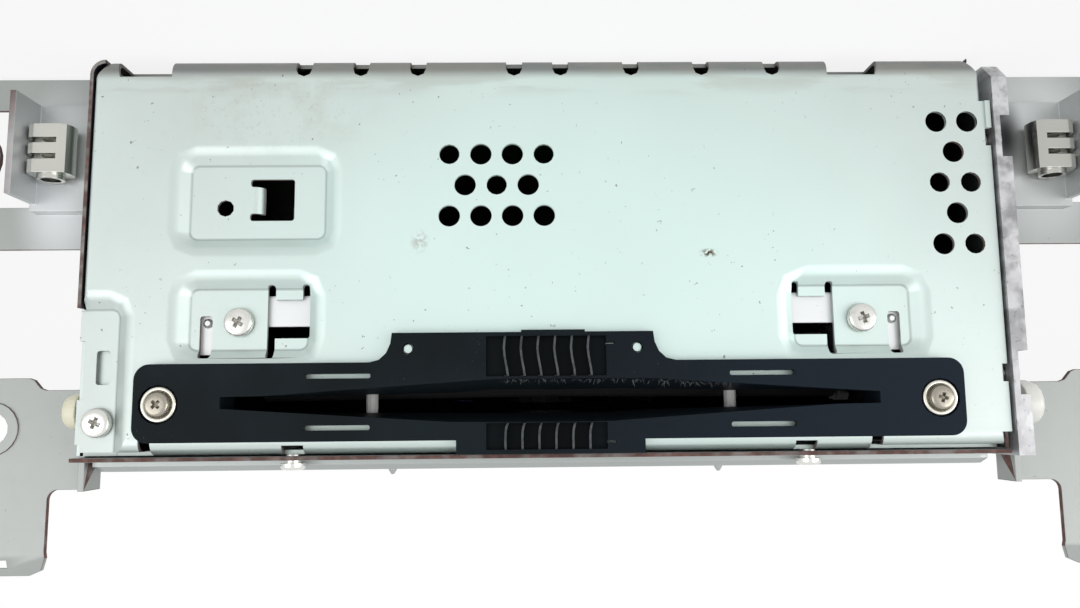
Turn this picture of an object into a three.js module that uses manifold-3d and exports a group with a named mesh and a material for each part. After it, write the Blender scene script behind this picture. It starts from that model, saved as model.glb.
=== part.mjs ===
// Car CD radio: a sheet-steel case with a slot-loading disc deck, a heat sink and two dashboard brackets.
// Millimetres. +Z up, the front faces -Y, +X is at the right of a person who looks at the front.
// The origin is the centre of the case's underside.
import * as THREE from "three";
import { mergeVertices } from "three/addons/utils/BufferGeometryUtils.js";
import Module from "manifold-3d";

const wasm = await Module();
wasm.setup();

// The case
const CASE_WIDTH = 177.4;
const CASE_DEPTH = 158;
const PLATE_HEIGHT = 77.4;
const SHEET = 0.8;
const GAP = 0.3;
const OVERRUN = 2;
const ROLL_RADIUS = 3;
const SIDE_BEND_RADIUS = 1;
const TRAY_BEND_RADIUS = 3;
const PLATE_TRIM_WIDTH = 3;
const PLATE_TRIM_HEIGHT = 4;
const PLATE_FLANGE = 10;
const COVER_RISE = 2.1;
const COVER_LEDGE_FRONT = 6.4;
const COVER_LEDGE_SIDE = 0.3;
const COVER_BEVEL = 1;
const COVER_BUMP_SHARES = [0.335, -0.39];
const FACE_SCREW_RADIUS = 1.5;

// Where the disc deck and the slot sit
const DECK_X = -1.8;
const SLOT_X = -1.5;
const SLOT_RISE = 20.7;

// Vents in the front plate
const VENT_RADIUS = 2;
const VENT_PITCH = 6.15;
const CENTRE_VENT_ROWS = 3;
const CENTRE_VENTS_A_ROW = 4;
const CENTRE_VENT_X = 18;
const CENTRE_VENT_Z = 19.7;
const CORNER_VENT_ROWS = 5;
const CORNER_VENTS_A_ROW = 2;
const CORNER_VENT_INSET = 3.2;
const CORNER_VENT_Z = 13.5;

// Notches in the front plate's rolled edges
const NOTCH_WIDTH = 3.2;
const NOTCH_CORNER_SHARE = 0.47;
const NOTCH_HEIGHT = 3.7;
const NOTCH_DEPTH = 3.5;
const NOTCH_SHARES = [0.533, 0.405, 0.277, 0.06, -0.045, -0.205, -0.365, -0.526];
const WIDE_NOTCH_SHARES = [[0.828, 0.944], [-0.761, -0.651]];
const WIDE_NOTCH_DEPTH = 8;
const WIDE_NOTCH_SLANT = 1.4;
const TOP_NOTCH_WIDTH = 4.1;
const TOP_NOTCH_HEIGHT = 1.7;
const TOP_NOTCH_SHARES = [0.54, -0.568];
const CORNER_SLIT_SHARES = [[0.845, 1], [-1, -0.722]];
const CORNER_SLIT_HEIGHT = 0.7;
const RELIEF_WIDTH = 2.2;
const RELIEF_HEIGHT = 2.9;
const RELIEF_SHARES = [0.855, -0.722];
const LEFT_EDGE_LAP = 1.3;
const LEFT_EDGE_BOTTOM = 9.3;
const LEFT_TAB_TOP = 14.9;
const LEFT_TAB_LAP = 1.5;
const EDGE_NOTCH_DEPTH = 1;
const EDGE_NOTCH_HEIGHT = 3.4;

// Recesses pressed into the front plate
const RECESS_DEPTH = 2;
const RECESS_BEVEL = 2.6;
const RECESS_RADIUS = 1.5;
const PANEL_WIDTH = 26.2;
const PANEL_INSET = 19.1;
const PANEL_HEIGHT = 14.6;
const PANEL_DROP = 11;
const PANEL_WINDOW_WIDTH = 8.6;
const PANEL_WINDOW_HEIGHT = 8.3;
const PANEL_WINDOW_INSET = 15.8;
const PANEL_WINDOW_DROP = 7.8;
const PANEL_HOLE_INSET = 6.7;
const PANEL_HOLE_DROP = 6.2;
const PANEL_HOLE_RADIUS = 1.65;
const FINGER_WIDTH = 1.5;
const FINGER_LENGTH = 2.8;
const PAD_SCREW_INSET = 10.9;
const PAD_SCREW_RISE = 5.3;
const PAD_INNER_INSET = 24;
const PAD_OUTER_INSET = 1.4;
const PAD_DROP = 1.1;
const PAD_RISE = 10.6;
const PAD_WINDOW_WIDTH = 8.2;
const PAD_WINDOW_INSET = 16.2;
const PAD_WINDOW_RISE = 0.9;
const PAD_WINDOW_HEIGHT = 7.5;
const PAD_FINGER_RISE = 3.9;
const PAD_SLOT_INSET = 4.5;
const PAD_SLOT_WIDTH = 2.4;
const PAD_SLOT_RISE = 4;
const PAD_SLOT_LENGTH = 8.2;
const STRIP_WIDTH = 6.4;
const STRIP_HEIGHT = 27.7;
const STRIP_LAP = 1;
const STRIP_NOTCH_LENGTH = 11.2;
const STRIP_NOTCH_DROP = 10.6;
const STRIP_TAB_LAP = 0.7;
const STRIP_SLOT_INSET = 3.7;
const STRIP_SLOT_WIDTH = 2.7;
const STRIP_SLOT_LENGTH = 6.5;
const STRIP_SLOT_DROP = 13.4;
const CORNER_SCREW_INSET = 3.2;
const CORNER_SCREW_DROP = 6.2;

// The slot bezel
const BEZEL_MARGIN = 9.8;
const BEZEL_HALF_HEIGHT = 7.3;
const BEZEL_THICKNESS = 2;
const BEZEL_RADIUS = 2.9;
const LOWER_HUMP_X = 3.9;
const LOWER_HUMP_HALF = 24.6;
const LOWER_HUMP_DROP = 5.5;
const LOWER_HUMP_FILLET = 4.2;
const LOWER_STEP_X = -1.8;
const LOWER_STEP_HALF = 6;
const LOWER_STEP_DROP = 0.4;
const UPPER_HUMP_X = -1.2;
const UPPER_HUMP_HALF = 17.6;
const UPPER_HUMP_RISE = 2.6;
const THROAT_DEPTH = 6;
const SLOT_END_MARGIN = 16.1;
const SLOT_FLAT_HALF = 10.8;
const MOUTH_END_HALF = 1.1;
const MOUTH_CENTRE_HALF = 4;
const THROAT_END_HALF = 1.2;
const THROAT_CENTRE_HALF = 2.3;
const THROAT_WALL = 1.7;
const FELT_THICKNESS = 0.7;
const FELT_HEIGHT = 1.3;
const BEZEL_SCREW_INSET = 4.7;
const BEZEL_POCKET_DEPTH = 0.9;
const BEZEL_SCREW_RISE = 0.2;
const WASHER_RADIUS = 3.4;
const WASHER_THICKNESS = 0.6;
const BEZEL_HEAD_RADIUS = 2.3;
const LOCATING_PIN_OFFSET = 21.6;
const LOCATING_PIN_DROP = 9.8;
const LOCATING_PIN_RADIUS = 0.8;
const SLIT_LENGTH = 12.4;
const SLIT_HEIGHT = 0.9;
const SLIT_X = -1.3;
const SLIT_OFFSET = 39.9;
const SLIT_SPREAD = 4.8;
const FIN_COUNT = 7;
const FIN_PITCH = 3.13;
const FIN_THICKNESS = 0.6;
const FIN_PROUD = 1.4;
const FIN_POCKET_DEPTH = 1.3;
const FIN_FIRST_X = 7.1;
const FIN_LEAD = 3.6;
const LOWER_FIN_LENGTH = 7.5;
const LOWER_FIN_DROP = 4.5;
const UPPER_FIN_RISE = 4.2;
const UPPER_FIN_LENGTH = 4.9;

// Screws
const HEAD_RADIUS = 2.8;
const HEAD_HEIGHT = 1.6;
const HEAD_LAND_SHARE = 0.45;
const SCREW_LENGTH = 6;
const CROSS_LENGTH = 2.4;
const CROSS_WIDTH = 0.6;
const CROSS_DEPTH = 0.8;
const COVER_SCREW_OFFSET = 49.2;
const COVER_HEAD_RADIUS = 2.45;
const SIDE_SCREW_SETBACK = 3.4;
const SIDE_SCREW_LOW = 16.7;
const SIDE_SCREW_DROP = 14.2;
const SIDE_HEAD_RADIUS = 2.3;
const SIDE_HEAD_HEIGHT = 1.5;
const SIDE_SCREW_LENGTH = 4;
const BRACKET_SCREW_SETBACK = 49;
const BRACKET_SCREW_LOW = 22;
const BRACKET_SCREW_DROP = 19.4;

// Heat sink
const HEAT_SINK_THICKNESS = 3.1;
const HEAT_SINK_LENGTH = 120;
const HEAT_SINK_BOTTOM = 1.2;
const HEAT_SINK_RISE = 1.5;
const HEAT_SINK_CHAMFER = 3.4;
const HEAT_SINK_GAP = 0.7;
const HEAT_SINK_PROUD = 1;
const HEAT_WINDOW_HEIGHT = 8.4;
const HEAT_WINDOW_DEPTH = 1.9;
const HEAT_WINDOW_LENGTH = 8;

// Brackets, drawn for the +X side
const BRACKET_SHEET = 1.2;
const BRACKET_LENGTH = 90;
const BRACKET_LEFT_SHIFT = 6;
const EAR_SETBACK = 10;
const EAR_INNER = 8.3;
const EAR_STEP = 9.7;
const EAR_STEP_WIDTH = 3.5;
const EAR_OUTER = 31.3;
const EAR_HOLE_REACH = 19.8;
const EAR_HOLE_DROP = 5.2;
const EAR_HOLE_RADIUS = 3.25;
const EAR_RING_WIDTH = 2;
const EAR_RING_HEIGHT = 0.4;
const EAR_SHELF_DROP = 12.8;
const EAR_STEP_HEIGHT = 2.4;
const EAR_SHOULDER_RISE = 6.7;
const EAR_CREASE_RISE = 18.6;
const EAR_TIP_HEIGHT = 4.7;
const EAR_TIP_BEND = 1.6;
const EAR_FILLET = 2;
const EAR_TIP_RADIUS = 3.5;
const TIP_SLOT_LENGTH = 8;
const TIP_SLOT_HEIGHT = 1.6;
const LOWER_EAR_OUTER = 36;
const LOWER_EAR_BOTTOM = 0.4;
const LOWER_EAR_TOP = 36.2;
const LOWER_WINDOW_START = 13.7;
const LOWER_WINDOW_WIDTH = 12.8;
const LOWER_WINDOW_BOTTOM = 7;
const LOWER_WINDOW_TOP = 27.5;
const LOWER_HOLE_REACH = 28.5;
const LOWER_HOLE_Z = 17.1;
const LOWER_RING_RADIUS = 6.7;
const TONGUE_LENGTH = 12;
const FLAP_FRONT = 7.2;
const FLAP_REAR = 14.3;
const FLAP_RISE = 6.9;
const BRACKET_PLATE_RISE = 0.2;
const BRACKET_NOTCH_LENGTH = 20;
const PLATFORM_RISE = 3;
const PLATFORM_TOP = 29;
const PLATFORM_INSET = 1.5;
const CLIP_WIDTH = 8.4;
const CLIP_HEIGHT = 9.8;
const CLIP_DEPTH = 5.6;
const CLIP_Z = 17.6;
const CLIP_SLOT_HEIGHT = 1.1;
const CLIP_SLOT_DEPTH = 6.2;
const CLIP_BORE_RADIUS = 1.9;
const CLIP_TUBE_RADIUS = 2.6;
const CLIP_TUBE_LENGTH = 1;
const CLIP_ROUND = 1.8;
const RIGHT_BUTTON_RADIUS = 3.4;
const RIGHT_BUTTON_HEIGHT = 3;
const LEFT_BUTTON_RADIUS = 4.5;
const LEFT_BUTTON_HEIGHT = 4.2;
const BUTTON_DROP = 8.4;
const BUTTON_SETBACK = 5.2;
const BUTTON_RING_SHARES = [[1, 0], [1, 0.5], [0.85, 0.85], [0.5, 1]];

// Electronics
const BOARD_SIDE_ROOM = 8.9;
const BOARD_FRONT_ROOM = 19;
const BOARD_THICKNESS = 1.6;
const BOARD_Z = 8;
const BOARD_REAR_ROOM = 11;
const STANDOFF_RADIUS = 2.5;
const STANDOFF_SHARE = 0.94;
const AMPLIFIER_LENGTH = 28;
const AMPLIFIER_THICKNESS = 4.8;
const AMPLIFIER_HEIGHT = 20;
const TUNER_WIDTH = 36;
const TUNER_DEPTH = 42;
const TUNER_HEIGHT = 14;
const TUNER_INSET = 29;
const TUNER_TO_REAR = 39;
const CAPACITOR_RADIUS = 9;
const CAPACITOR_ROOM = 9.1;
const CAPACITOR_INSET = 17;
const CAPACITOR_Y = 10;
const CONNECTOR_WIDTH = 44;
const CONNECTOR_HEIGHT = 18;
const CONNECTOR_DEPTH = 20;
const CONNECTOR_X = 38;
const CONNECTOR_WALL = 1.8;
const CONNECTOR_OUT = 5;
const CONNECTOR_FLANGE = 2;
const ANTENNA_X = -50;
const ANTENNA_DROP = 11;
const ANTENNA_RADIUS = 6;
const ANTENNA_BORE = 4.4;
const ANTENNA_OUT = 10;
const ANTENNA_IN = 8;
const ANTENNA_FLANGE_RADIUS = 9;
const ANTENNA_FLANGE = 1.2;
const FLEX_WIDTH = 14;
const FLEX_THICKNESS = 0.4;
const FLEX_X = 10;
const FLEX_TO_REAR = 29;
const FLEX_BULGE = 9;
const FLEX_QUARTER_SHARE = 0.7;

// Deck
const DECK_SIDE_ROOM = 16.9;
const DECK_SHEET = 1;
const DECK_DROP = 30.4;
const DECK_WALL_HEIGHT = 24.1;
const DECK_FRONT_SETBACK = 3.1;
const DECK_REAR_ROOM = 9;
const REAR_LUG_OFFSET = 50;
const REAR_LUG_WIDTH = 10;
const FLANGE_RISE = 6;
const TONGUE_DOME_RADIUS = 1;
const GUIDE_THICKNESS = 1;
const GUIDE_SETBACK = 7.4;
const PUCK_RADIUS = 15;
const PUCK_HOLE_MARGIN = 3;
const SPINDLE_SETBACK = 84;
const DISC_RISE = 20.1;
const TRAVERSE_RISE = 8.6;
const TRAVERSE_SHEET = 1.2;
const TRAVERSE_REACH = 34.2;
const TRAVERSE_SIDE_ROOM = 2.2;
const TRAVERSE_SETBACK = 39;
const TRAVERSE_REAR_ROOM = 6;
const DAMPER_RADIUS = 4.5;
const DAMPER_WAIST_RADIUS = 3;
const DAMPER_SHARES = [[0.08, 0.08], [0.91, 0.08], [0.5, 0.92]];
const SPINDLE_MOTOR_RADIUS = 11.5;
const TURNTABLE_AIR = 1;
const SPINDLE_SHAFT_RADIUS = 1;
const TURNTABLE_RADIUS = 14;
const TURNTABLE_THICKNESS = 1.7;
const SPINDLE_CONE_RADIUS = 7.2;
const SPINDLE_CONE_HEIGHT = 1.5;
const SHAFT_CLEARANCE = 0.3;
const ARM_WIDTH = 18;
const ARM_SHEET = 1.2;
const ARM_HINGE_TO_REAR = 8;
const ARM_HINGE_RISE = 3.3;
const ARM_PIN_RADIUS = 1.1;
const HINGE_EAR_HEIGHT = 4.2;
const HINGE_EAR_LENGTH = 6;
const PUCK_THICKNESS = 2.2;
const PUCK_NECK_RADIUS = 3;
const PUCK_CAP_RADIUS = 4.6;
const PUCK_CAP_THICKNESS = 0.9;

// Sled and its drive
const SLED_START_RADIUS = 23;
const SLED_HALF_LENGTH = 8.5;
const SLED_HALF_WIDTH = 20;
const SLED_HEIGHT = 8;
const ROD_OFFSET = 14;
const ROD_RISE = 6.4;
const ROD_RADIUS = 1.5;
const RODS_START = 4.8;
const ROD_END_INSET = 0.2;
const ROD_TAB_WIDTH = 6;
const ROD_TAB_HEIGHT = 7.6;
const ROD_TAB_THICKNESS = 1.2;
const LENS_RADIUS = 3.4;
const LENS_HEIGHT = 1;
const SLED_MOTOR_RADIUS = 4.9;
const SLED_MOTOR_LENGTH = 14;
const SLED_MOTOR_INSET = 2;

// Loading drive
const ROLLER_SETBACK = 18;
const ROLLER_RADIUS = 4.2;
const ROLLER_WAIST_RADIUS = 3.6;
const ROLLER_END_ROOM = 12;
const ROLLER_SHAFT_RADIUS = 1.5;
const GEAR_MODULE = 0.8;
const GEAR_WIDTH = 4;
const GEAR_SETBACK = 2.4;
const ADDENDUM_SHARE = 0.85;
const DEDENDUM_SHARE = 1.2;
const TOOTH_ROOT_SHARE = 0.52;
const TOOTH_TIP_SHARE = 0.2;
const MESH_CLEARANCE = 0.12;
const ROLLER_TEETH = 18;
const IDLER_TEETH = 22;
const PINION_TEETH = 10;
const IDLER_RISE = 11;
const PINION_DROP = 4.3;
const IDLER_POST_RADIUS = 1.5;
const MOTOR_WIDTH = 20;
const MOTOR_FLOOR_GAP = 0.4;
const MOTOR_ROUND_SHARE = 2 / 3;
const MOTOR_TO_TRAVERSE = 5.2;
const MOTOR_SHAFT_RADIUS = 0.9;
const MOTOR_SHAFT_LENGTH = 7;

// Disc sensor levers
const SENSOR_PIVOT_OFFSET = 50;
const SENSOR_PIVOT_SETBACK = 49;
const SENSOR_PIN_OFFSET = 36;
const SENSOR_PIN_SETBACK = 11.1;
const SENSOR_PIN_RADIUS = 1.2;
const SENSOR_PIN_DROP = 1.3;
const SENSOR_ARM_WIDTH = 4;
const SENSOR_ARM_THICKNESS = 1;
const SENSOR_PIVOT_RADIUS = 1.3;

// How finely round shapes are drawn
const CORNER_STEPS = 2;
const SMALL_SIDES = 10;
const ROUND_SIDES = 14;
const LARGE_SIDES = 24;

// Derived from the sizes above: the case
const FACE_Y = -CASE_DEPTH / 2;
const REAR_Y = CASE_DEPTH / 2;
const WALL_OUTER = CASE_WIDTH / 2;
const WALL_INNER = WALL_OUTER - SHEET;
const PLATE_HALF = WALL_INNER - GAP;
const LEDGE_Z = PLATE_HEIGHT + GAP;
const COVER_TOP = LEDGE_Z + SHEET + COVER_RISE;
const RELIEF_BOTTOM = PLATE_HEIGHT - RELIEF_HEIGHT;
const CORNER_VENT_X = -PLATE_HALF + CORNER_VENT_INSET;
const STRIP_LEFT = PLATE_HALF - STRIP_WIDTH;
const STRIP_BOTTOM = PLATE_HEIGHT - STRIP_HEIGHT;
const STRIP_NOTCH_TOP = PLATE_HEIGHT - STRIP_NOTCH_DROP;
const STRIP_NOTCH_BOTTOM = STRIP_NOTCH_TOP - STRIP_NOTCH_LENGTH;
const STRIP_TAB_LEFT = STRIP_LEFT - STRIP_TAB_LAP;
const STRIP_SLOT_X = PLATE_HALF - STRIP_SLOT_INSET;
const STRIP_SLOT_TOP = PLATE_HEIGHT - STRIP_SLOT_DROP;
const STRIP_SLOT_BOTTOM = STRIP_SLOT_TOP - STRIP_SLOT_LENGTH;
const CORNER_SCREW_X = PLATE_HALF - CORNER_SCREW_INSET;
const CORNER_SCREW_Z = PLATE_HEIGHT - CORNER_SCREW_DROP;
const SIDE_SCREW_Y = FACE_Y + SIDE_SCREW_SETBACK;
const SIDE_SCREW_HIGH = PLATE_HEIGHT - SIDE_SCREW_DROP;
const BRACKET_SCREW_Y = FACE_Y + BRACKET_SCREW_SETBACK;
const BRACKET_SCREW_HIGH = PLATE_HEIGHT - BRACKET_SCREW_DROP;

// The deck's frame, and the front plate's recesses that follow it
const DECK_HALF = WALL_INNER - DECK_SIDE_ROOM;
const DECK_FLOOR_Z = PLATE_HEIGHT - DECK_DROP;
const DECK_FLOOR_TOP = DECK_FLOOR_Z + DECK_SHEET;
const DECK_FRONT = FACE_Y + DECK_FRONT_SETBACK;
const DECK_REAR_Y = REAR_Y - DECK_REAR_ROOM;
const DECK_WALL_TOP = DECK_FLOOR_Z + DECK_WALL_HEIGHT;
const EAR_FLANGE_TOP = DECK_FLOOR_Z + FLANGE_RISE;
const PANEL_RIGHT = PLATE_HALF - PANEL_INSET;
const PANEL_LEFT = PANEL_RIGHT - PANEL_WIDTH;
const PANEL_TOP = DECK_FLOOR_Z - PANEL_DROP;
const PANEL_BOTTOM = PANEL_TOP - PANEL_HEIGHT;
const PANEL_WINDOW_X = PANEL_RIGHT - PANEL_WINDOW_INSET;
const PANEL_WINDOW_Z = PANEL_TOP - PANEL_WINDOW_DROP;
const PANEL_HOLE_X = PANEL_RIGHT - PANEL_HOLE_INSET;
const PANEL_HOLE_Z = PANEL_TOP - PANEL_HOLE_DROP;
const PAD_SCREW_OFFSET = DECK_HALF - PAD_SCREW_INSET;
const PAD_SCREW_Z = DECK_FLOOR_Z + PAD_SCREW_RISE;
const PAD_INNER_OFFSET = DECK_HALF - PAD_INNER_INSET;
const PAD_OUTER_OFFSET = DECK_HALF - PAD_OUTER_INSET;
const PAD_BOTTOM = DECK_FLOOR_Z - PAD_DROP;
const PAD_TOP = DECK_FLOOR_Z + PAD_RISE;
const PAD_WINDOW_FAR = DECK_HALF - PAD_WINDOW_INSET;
const PAD_WINDOW_NEAR = PAD_WINDOW_FAR - PAD_WINDOW_WIDTH;
const PAD_WINDOW_BOTTOM = DECK_FLOOR_Z + PAD_WINDOW_RISE;
const PAD_WINDOW_TOP = PAD_WINDOW_BOTTOM + PAD_WINDOW_HEIGHT;
const PAD_FINGER_TOP = PAD_WINDOW_TOP + PAD_FINGER_RISE;
const PAD_SLOT_OFFSET = DECK_HALF - PAD_SLOT_INSET;
const PAD_SLOT_BOTTOM = DECK_FLOOR_Z + PAD_SLOT_RISE;
const PAD_SLOT_TOP = PAD_SLOT_BOTTOM + PAD_SLOT_LENGTH;

// The slot and its bezel
const SLOT_Z = DECK_FLOOR_Z + SLOT_RISE;
const BEZEL_HALF = PLATE_HALF - BEZEL_MARGIN;
const BEZEL_BOTTOM = SLOT_Z - BEZEL_HALF_HEIGHT;
const BEZEL_TOP = SLOT_Z + BEZEL_HALF_HEIGHT;
const BEZEL_BACK = FACE_Y - GAP;
const BEZEL_FACE = BEZEL_BACK - BEZEL_THICKNESS;
const THROAT_BACK = FACE_Y + THROAT_DEPTH;
const SLOT_HALF_LENGTH = BEZEL_HALF - SLOT_END_MARGIN;
const BEZEL_SCREW_OFFSET = BEZEL_HALF - BEZEL_SCREW_INSET;
const BEZEL_SCREW_Z = SLOT_Z + BEZEL_SCREW_RISE;
const LOCATING_PIN_Z = SLOT_Z - LOCATING_PIN_DROP;
const LOWER_FIN_TOP = SLOT_Z - LOWER_FIN_DROP;
const LOWER_FIN_BOTTOM = LOWER_FIN_TOP - LOWER_FIN_LENGTH;
const UPPER_FIN_BOTTOM = SLOT_Z + UPPER_FIN_RISE;
const UPPER_FIN_TOP = UPPER_FIN_BOTTOM + UPPER_FIN_LENGTH;

// The heat sink and the brackets
const HEAT_SINK_TOP = PLATE_HEIGHT + HEAT_SINK_RISE;
const HEAT_SINK_INNER = WALL_OUTER + HEAT_SINK_GAP;
const HEAT_SINK_OUTER = HEAT_SINK_INNER + HEAT_SINK_THICKNESS;
const RIGHT_BRACKET_X = WALL_OUTER + GAP;
const LEFT_BRACKET_X = HEAT_SINK_OUTER + GAP;
const EAR_Y = FACE_Y + EAR_SETBACK;
const EAR_HOLE_Z = PLATE_HEIGHT - EAR_HOLE_DROP;
const EAR_SHELF_Z = PLATE_HEIGHT - EAR_SHELF_DROP;
const EAR_BOTTOM = EAR_SHELF_Z - EAR_STEP_HEIGHT;
const EAR_SHOULDER_Z = PLATE_HEIGHT + EAR_SHOULDER_RISE;
const EAR_CREASE_Z = PLATE_HEIGHT + EAR_CREASE_RISE;
const EAR_TIP_Z = EAR_CREASE_Z + EAR_TIP_HEIGHT;
const BRACKET_PLATE_TOP = PLATE_HEIGHT + BRACKET_PLATE_RISE;
const BUTTON_Z = PLATE_HEIGHT - BUTTON_DROP;
const FLAP_BOTTOM = BUTTON_Z + LEFT_BUTTON_RADIUS + GAP;
const FLAP_TOP = PLATE_HEIGHT + FLAP_RISE;
const TAB_FRONT = FACE_Y + RECESS_DEPTH + SHEET + GAP;

// The electronics
const BOARD_TOP = BOARD_Z + BOARD_THICKNESS;
const BOARD_WIDTH = 2 * (WALL_INNER - BOARD_SIDE_ROOM);
const BOARD_DEPTH = CASE_DEPTH - BOARD_FRONT_ROOM - BOARD_REAR_ROOM;
const BOARD_Y = (BOARD_FRONT_ROOM - BOARD_REAR_ROOM) / 2;
const TUNER_X = -BOARD_WIDTH / 2 + TUNER_INSET;
const TUNER_Y = REAR_Y - TUNER_TO_REAR;
const CAPACITOR_X = BOARD_WIDTH / 2 - CAPACITOR_INSET;
const CAPACITOR_HEIGHT = DECK_FLOOR_Z - CAPACITOR_ROOM - BOARD_TOP - GAP;
const ANTENNA_Z = DECK_FLOOR_Z - ANTENNA_DROP;
const FLEX_Y = REAR_Y - FLEX_TO_REAR;

// The disc mechanism
const DISC_Z = DECK_FLOOR_Z + DISC_RISE;
const SPINDLE_Y = FACE_Y + SPINDLE_SETBACK;
const GUIDE_Z = DECK_WALL_TOP + GAP;
const GUIDE_TOP = GUIDE_Z + GUIDE_THICKNESS;
const GUIDE_FRONT_Y = FACE_Y + GUIDE_SETBACK;
const TRAVERSE_Z = DECK_FLOOR_Z + TRAVERSE_RISE;
const TRAVERSE_TOP = TRAVERSE_Z + TRAVERSE_SHEET;
const TRAVERSE_LEFT = DECK_X - TRAVERSE_REACH;
const TRAVERSE_RIGHT = DECK_X + DECK_HALF - TRAVERSE_SIDE_ROOM;
const TRAVERSE_FRONT = FACE_Y + TRAVERSE_SETBACK;
const TRAVERSE_REAR = DECK_REAR_Y - TRAVERSE_REAR_ROOM;
const DAMPER_PLACES = DAMPER_SHARES.map(([across, back]) => [
  TRAVERSE_LEFT + across * (TRAVERSE_RIGHT - TRAVERSE_LEFT),
  TRAVERSE_FRONT + back * (TRAVERSE_REAR - TRAVERSE_FRONT)]);
const ARM_HINGE_Y = DECK_REAR_Y - ARM_HINGE_TO_REAR;
const ARM_HINGE_Z = DECK_WALL_TOP + ARM_HINGE_RISE;
const ROD_Z = TRAVERSE_Z + ROD_RISE;
const RODS_START_X = DECK_X + RODS_START;
const RODS_END_X = TRAVERSE_RIGHT - ROD_END_INSET;
const SLED_MOTOR_LEFT = TRAVERSE_LEFT + SLED_MOTOR_INSET;
const SLED_MOTOR_RIGHT = SLED_MOTOR_LEFT + SLED_MOTOR_LENGTH;
const ROLLER_Y = FACE_Y + ROLLER_SETBACK;
const ROLLER_Z = DISC_Z - ROLLER_RADIUS;
const ROLLER_LENGTH = 2 * (DECK_HALF - ROLLER_END_ROOM);
const IDLER_Z = DECK_FLOOR_Z + IDLER_RISE;
const GEAR_X = DECK_X - DECK_HALF + GEAR_SETBACK;
const MOTOR_FACE_X = GEAR_X + GEAR_WIDTH + GAP * 4;
const MOTOR_END_X = TRAVERSE_LEFT - MOTOR_TO_TRAVERSE;
const SENSOR_PIVOT_Y = FACE_Y + SENSOR_PIVOT_SETBACK;
const SENSOR_PIN_Y = FACE_Y + SENSOR_PIN_SETBACK;
const SENSOR_PIN_BOTTOM = DISC_Z - SENSOR_PIN_DROP;

// Drawing planes: each outline is drawn in its first two axes and extruded along the third
const X_AXIS = new THREE.Vector3(1, 0, 0);
const Y_AXIS = new THREE.Vector3(0, 1, 0);
const Z_AXIS = new THREE.Vector3(0, 0, 1);
const PLANES = {
  XY: { basis: new THREE.Matrix4().makeBasis(X_AXIS, Y_AXIS, Z_AXIS), sign: 1 },
  YZ: { basis: new THREE.Matrix4().makeBasis(Y_AXIS, Z_AXIS, X_AXIS), sign: 1 },
  XZ: { basis: new THREE.Matrix4().makeBasis(X_AXIS, Z_AXIS, Y_AXIS.clone().negate()), sign: -1 },
};

function toSolid(geometry) {
  const bare = geometry.clone();
  bare.deleteAttribute("normal");
  bare.deleteAttribute("uv");
  const merged = mergeVertices(bare);
  const vertProperties = new Float32Array(merged.attributes.position.array);
  const triVerts = new Uint32Array(merged.index.array);
  return new wasm.Manifold(new wasm.Mesh({ numProp: 3, vertProperties, triVerts }));
}

function toGeometry(solid) {
  const mesh = solid.getMesh();
  const geometry = new THREE.BufferGeometry();
  geometry.setAttribute("position", new THREE.BufferAttribute(new Float32Array(mesh.vertProperties), 3));
  geometry.setIndex(new THREE.BufferAttribute(new Uint32Array(mesh.triVerts), 1));
  geometry.computeVertexNormals();
  return geometry;
}

function join(...solids) {
  return solids.reduce((whole, solid) => whole.add(solid));
}

function cut(solid, ...tools) {
  return tools.reduce((rest, tool) => rest.subtract(tool), solid);
}

// The points of a circle, anticlockwise
function circle(u, v, radius, sides = SMALL_SIDES) {
  return Array.from({ length: sides }, (_, i) => {
    const angle = (2 * Math.PI * (i + 0.5)) / sides;
    return new THREE.Vector2(u + radius * Math.cos(angle), v + radius * Math.sin(angle));
  });
}

// The points of a rectangle with round corners, anticlockwise from its lower right corner
function roundedRect(u0, u1, v0, v1, radius, steps = CORNER_STEPS) {
  const centres = [[u1 - radius, v0 + radius], [u1 - radius, v1 - radius],
    [u0 + radius, v1 - radius], [u0 + radius, v0 + radius]];
  return centres.flatMap(([u, v], corner) => Array.from({ length: steps + 1 }, (_, i) => {
    const angle = (Math.PI / 2) * (corner - 1 + i / steps);
    return new THREE.Vector2(u + radius * Math.cos(angle), v + radius * Math.sin(angle));
  }));
}

function points(...pairs) {
  return pairs.map(([u, v]) => new THREE.Vector2(u, v));
}

function extrude(plane, outline, from, to) {
  const shape = outline instanceof THREE.Shape ? outline : new THREE.Shape(outline);
  const { basis, sign } = PLANES[plane];
  const geometry = new THREE.ExtrudeGeometry(shape, {
    depth: to - from, bevelEnabled: false, curveSegments: 2 * CORNER_STEPS,
  });
  geometry.translate(0, 0, sign > 0 ? from : -to);
  return toSolid(geometry.applyMatrix4(basis));
}

function box(x0, x1, y0, y1, z0, z1) {
  const geometry = new THREE.BoxGeometry(x1 - x0, y1 - y0, z1 - z0);
  return toSolid(geometry.translate((x0 + x1) / 2, (y0 + y1) / 2, (z0 + z1) / 2));
}

// A box given by its sides on any x order, for pieces mirrored to the other side
function sideBox(side, near, far, y0, y1, z0, z1) {
  return side > 0 ? box(near, far, y0, y1, z0, z1) : box(-far, -near, y0, y1, z0, z1);
}

function rod(plane, u, v, radius, from, to, sides = SMALL_SIDES) {
  return extrude(plane, circle(u, v, radius, sides), from, to);
}

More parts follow.
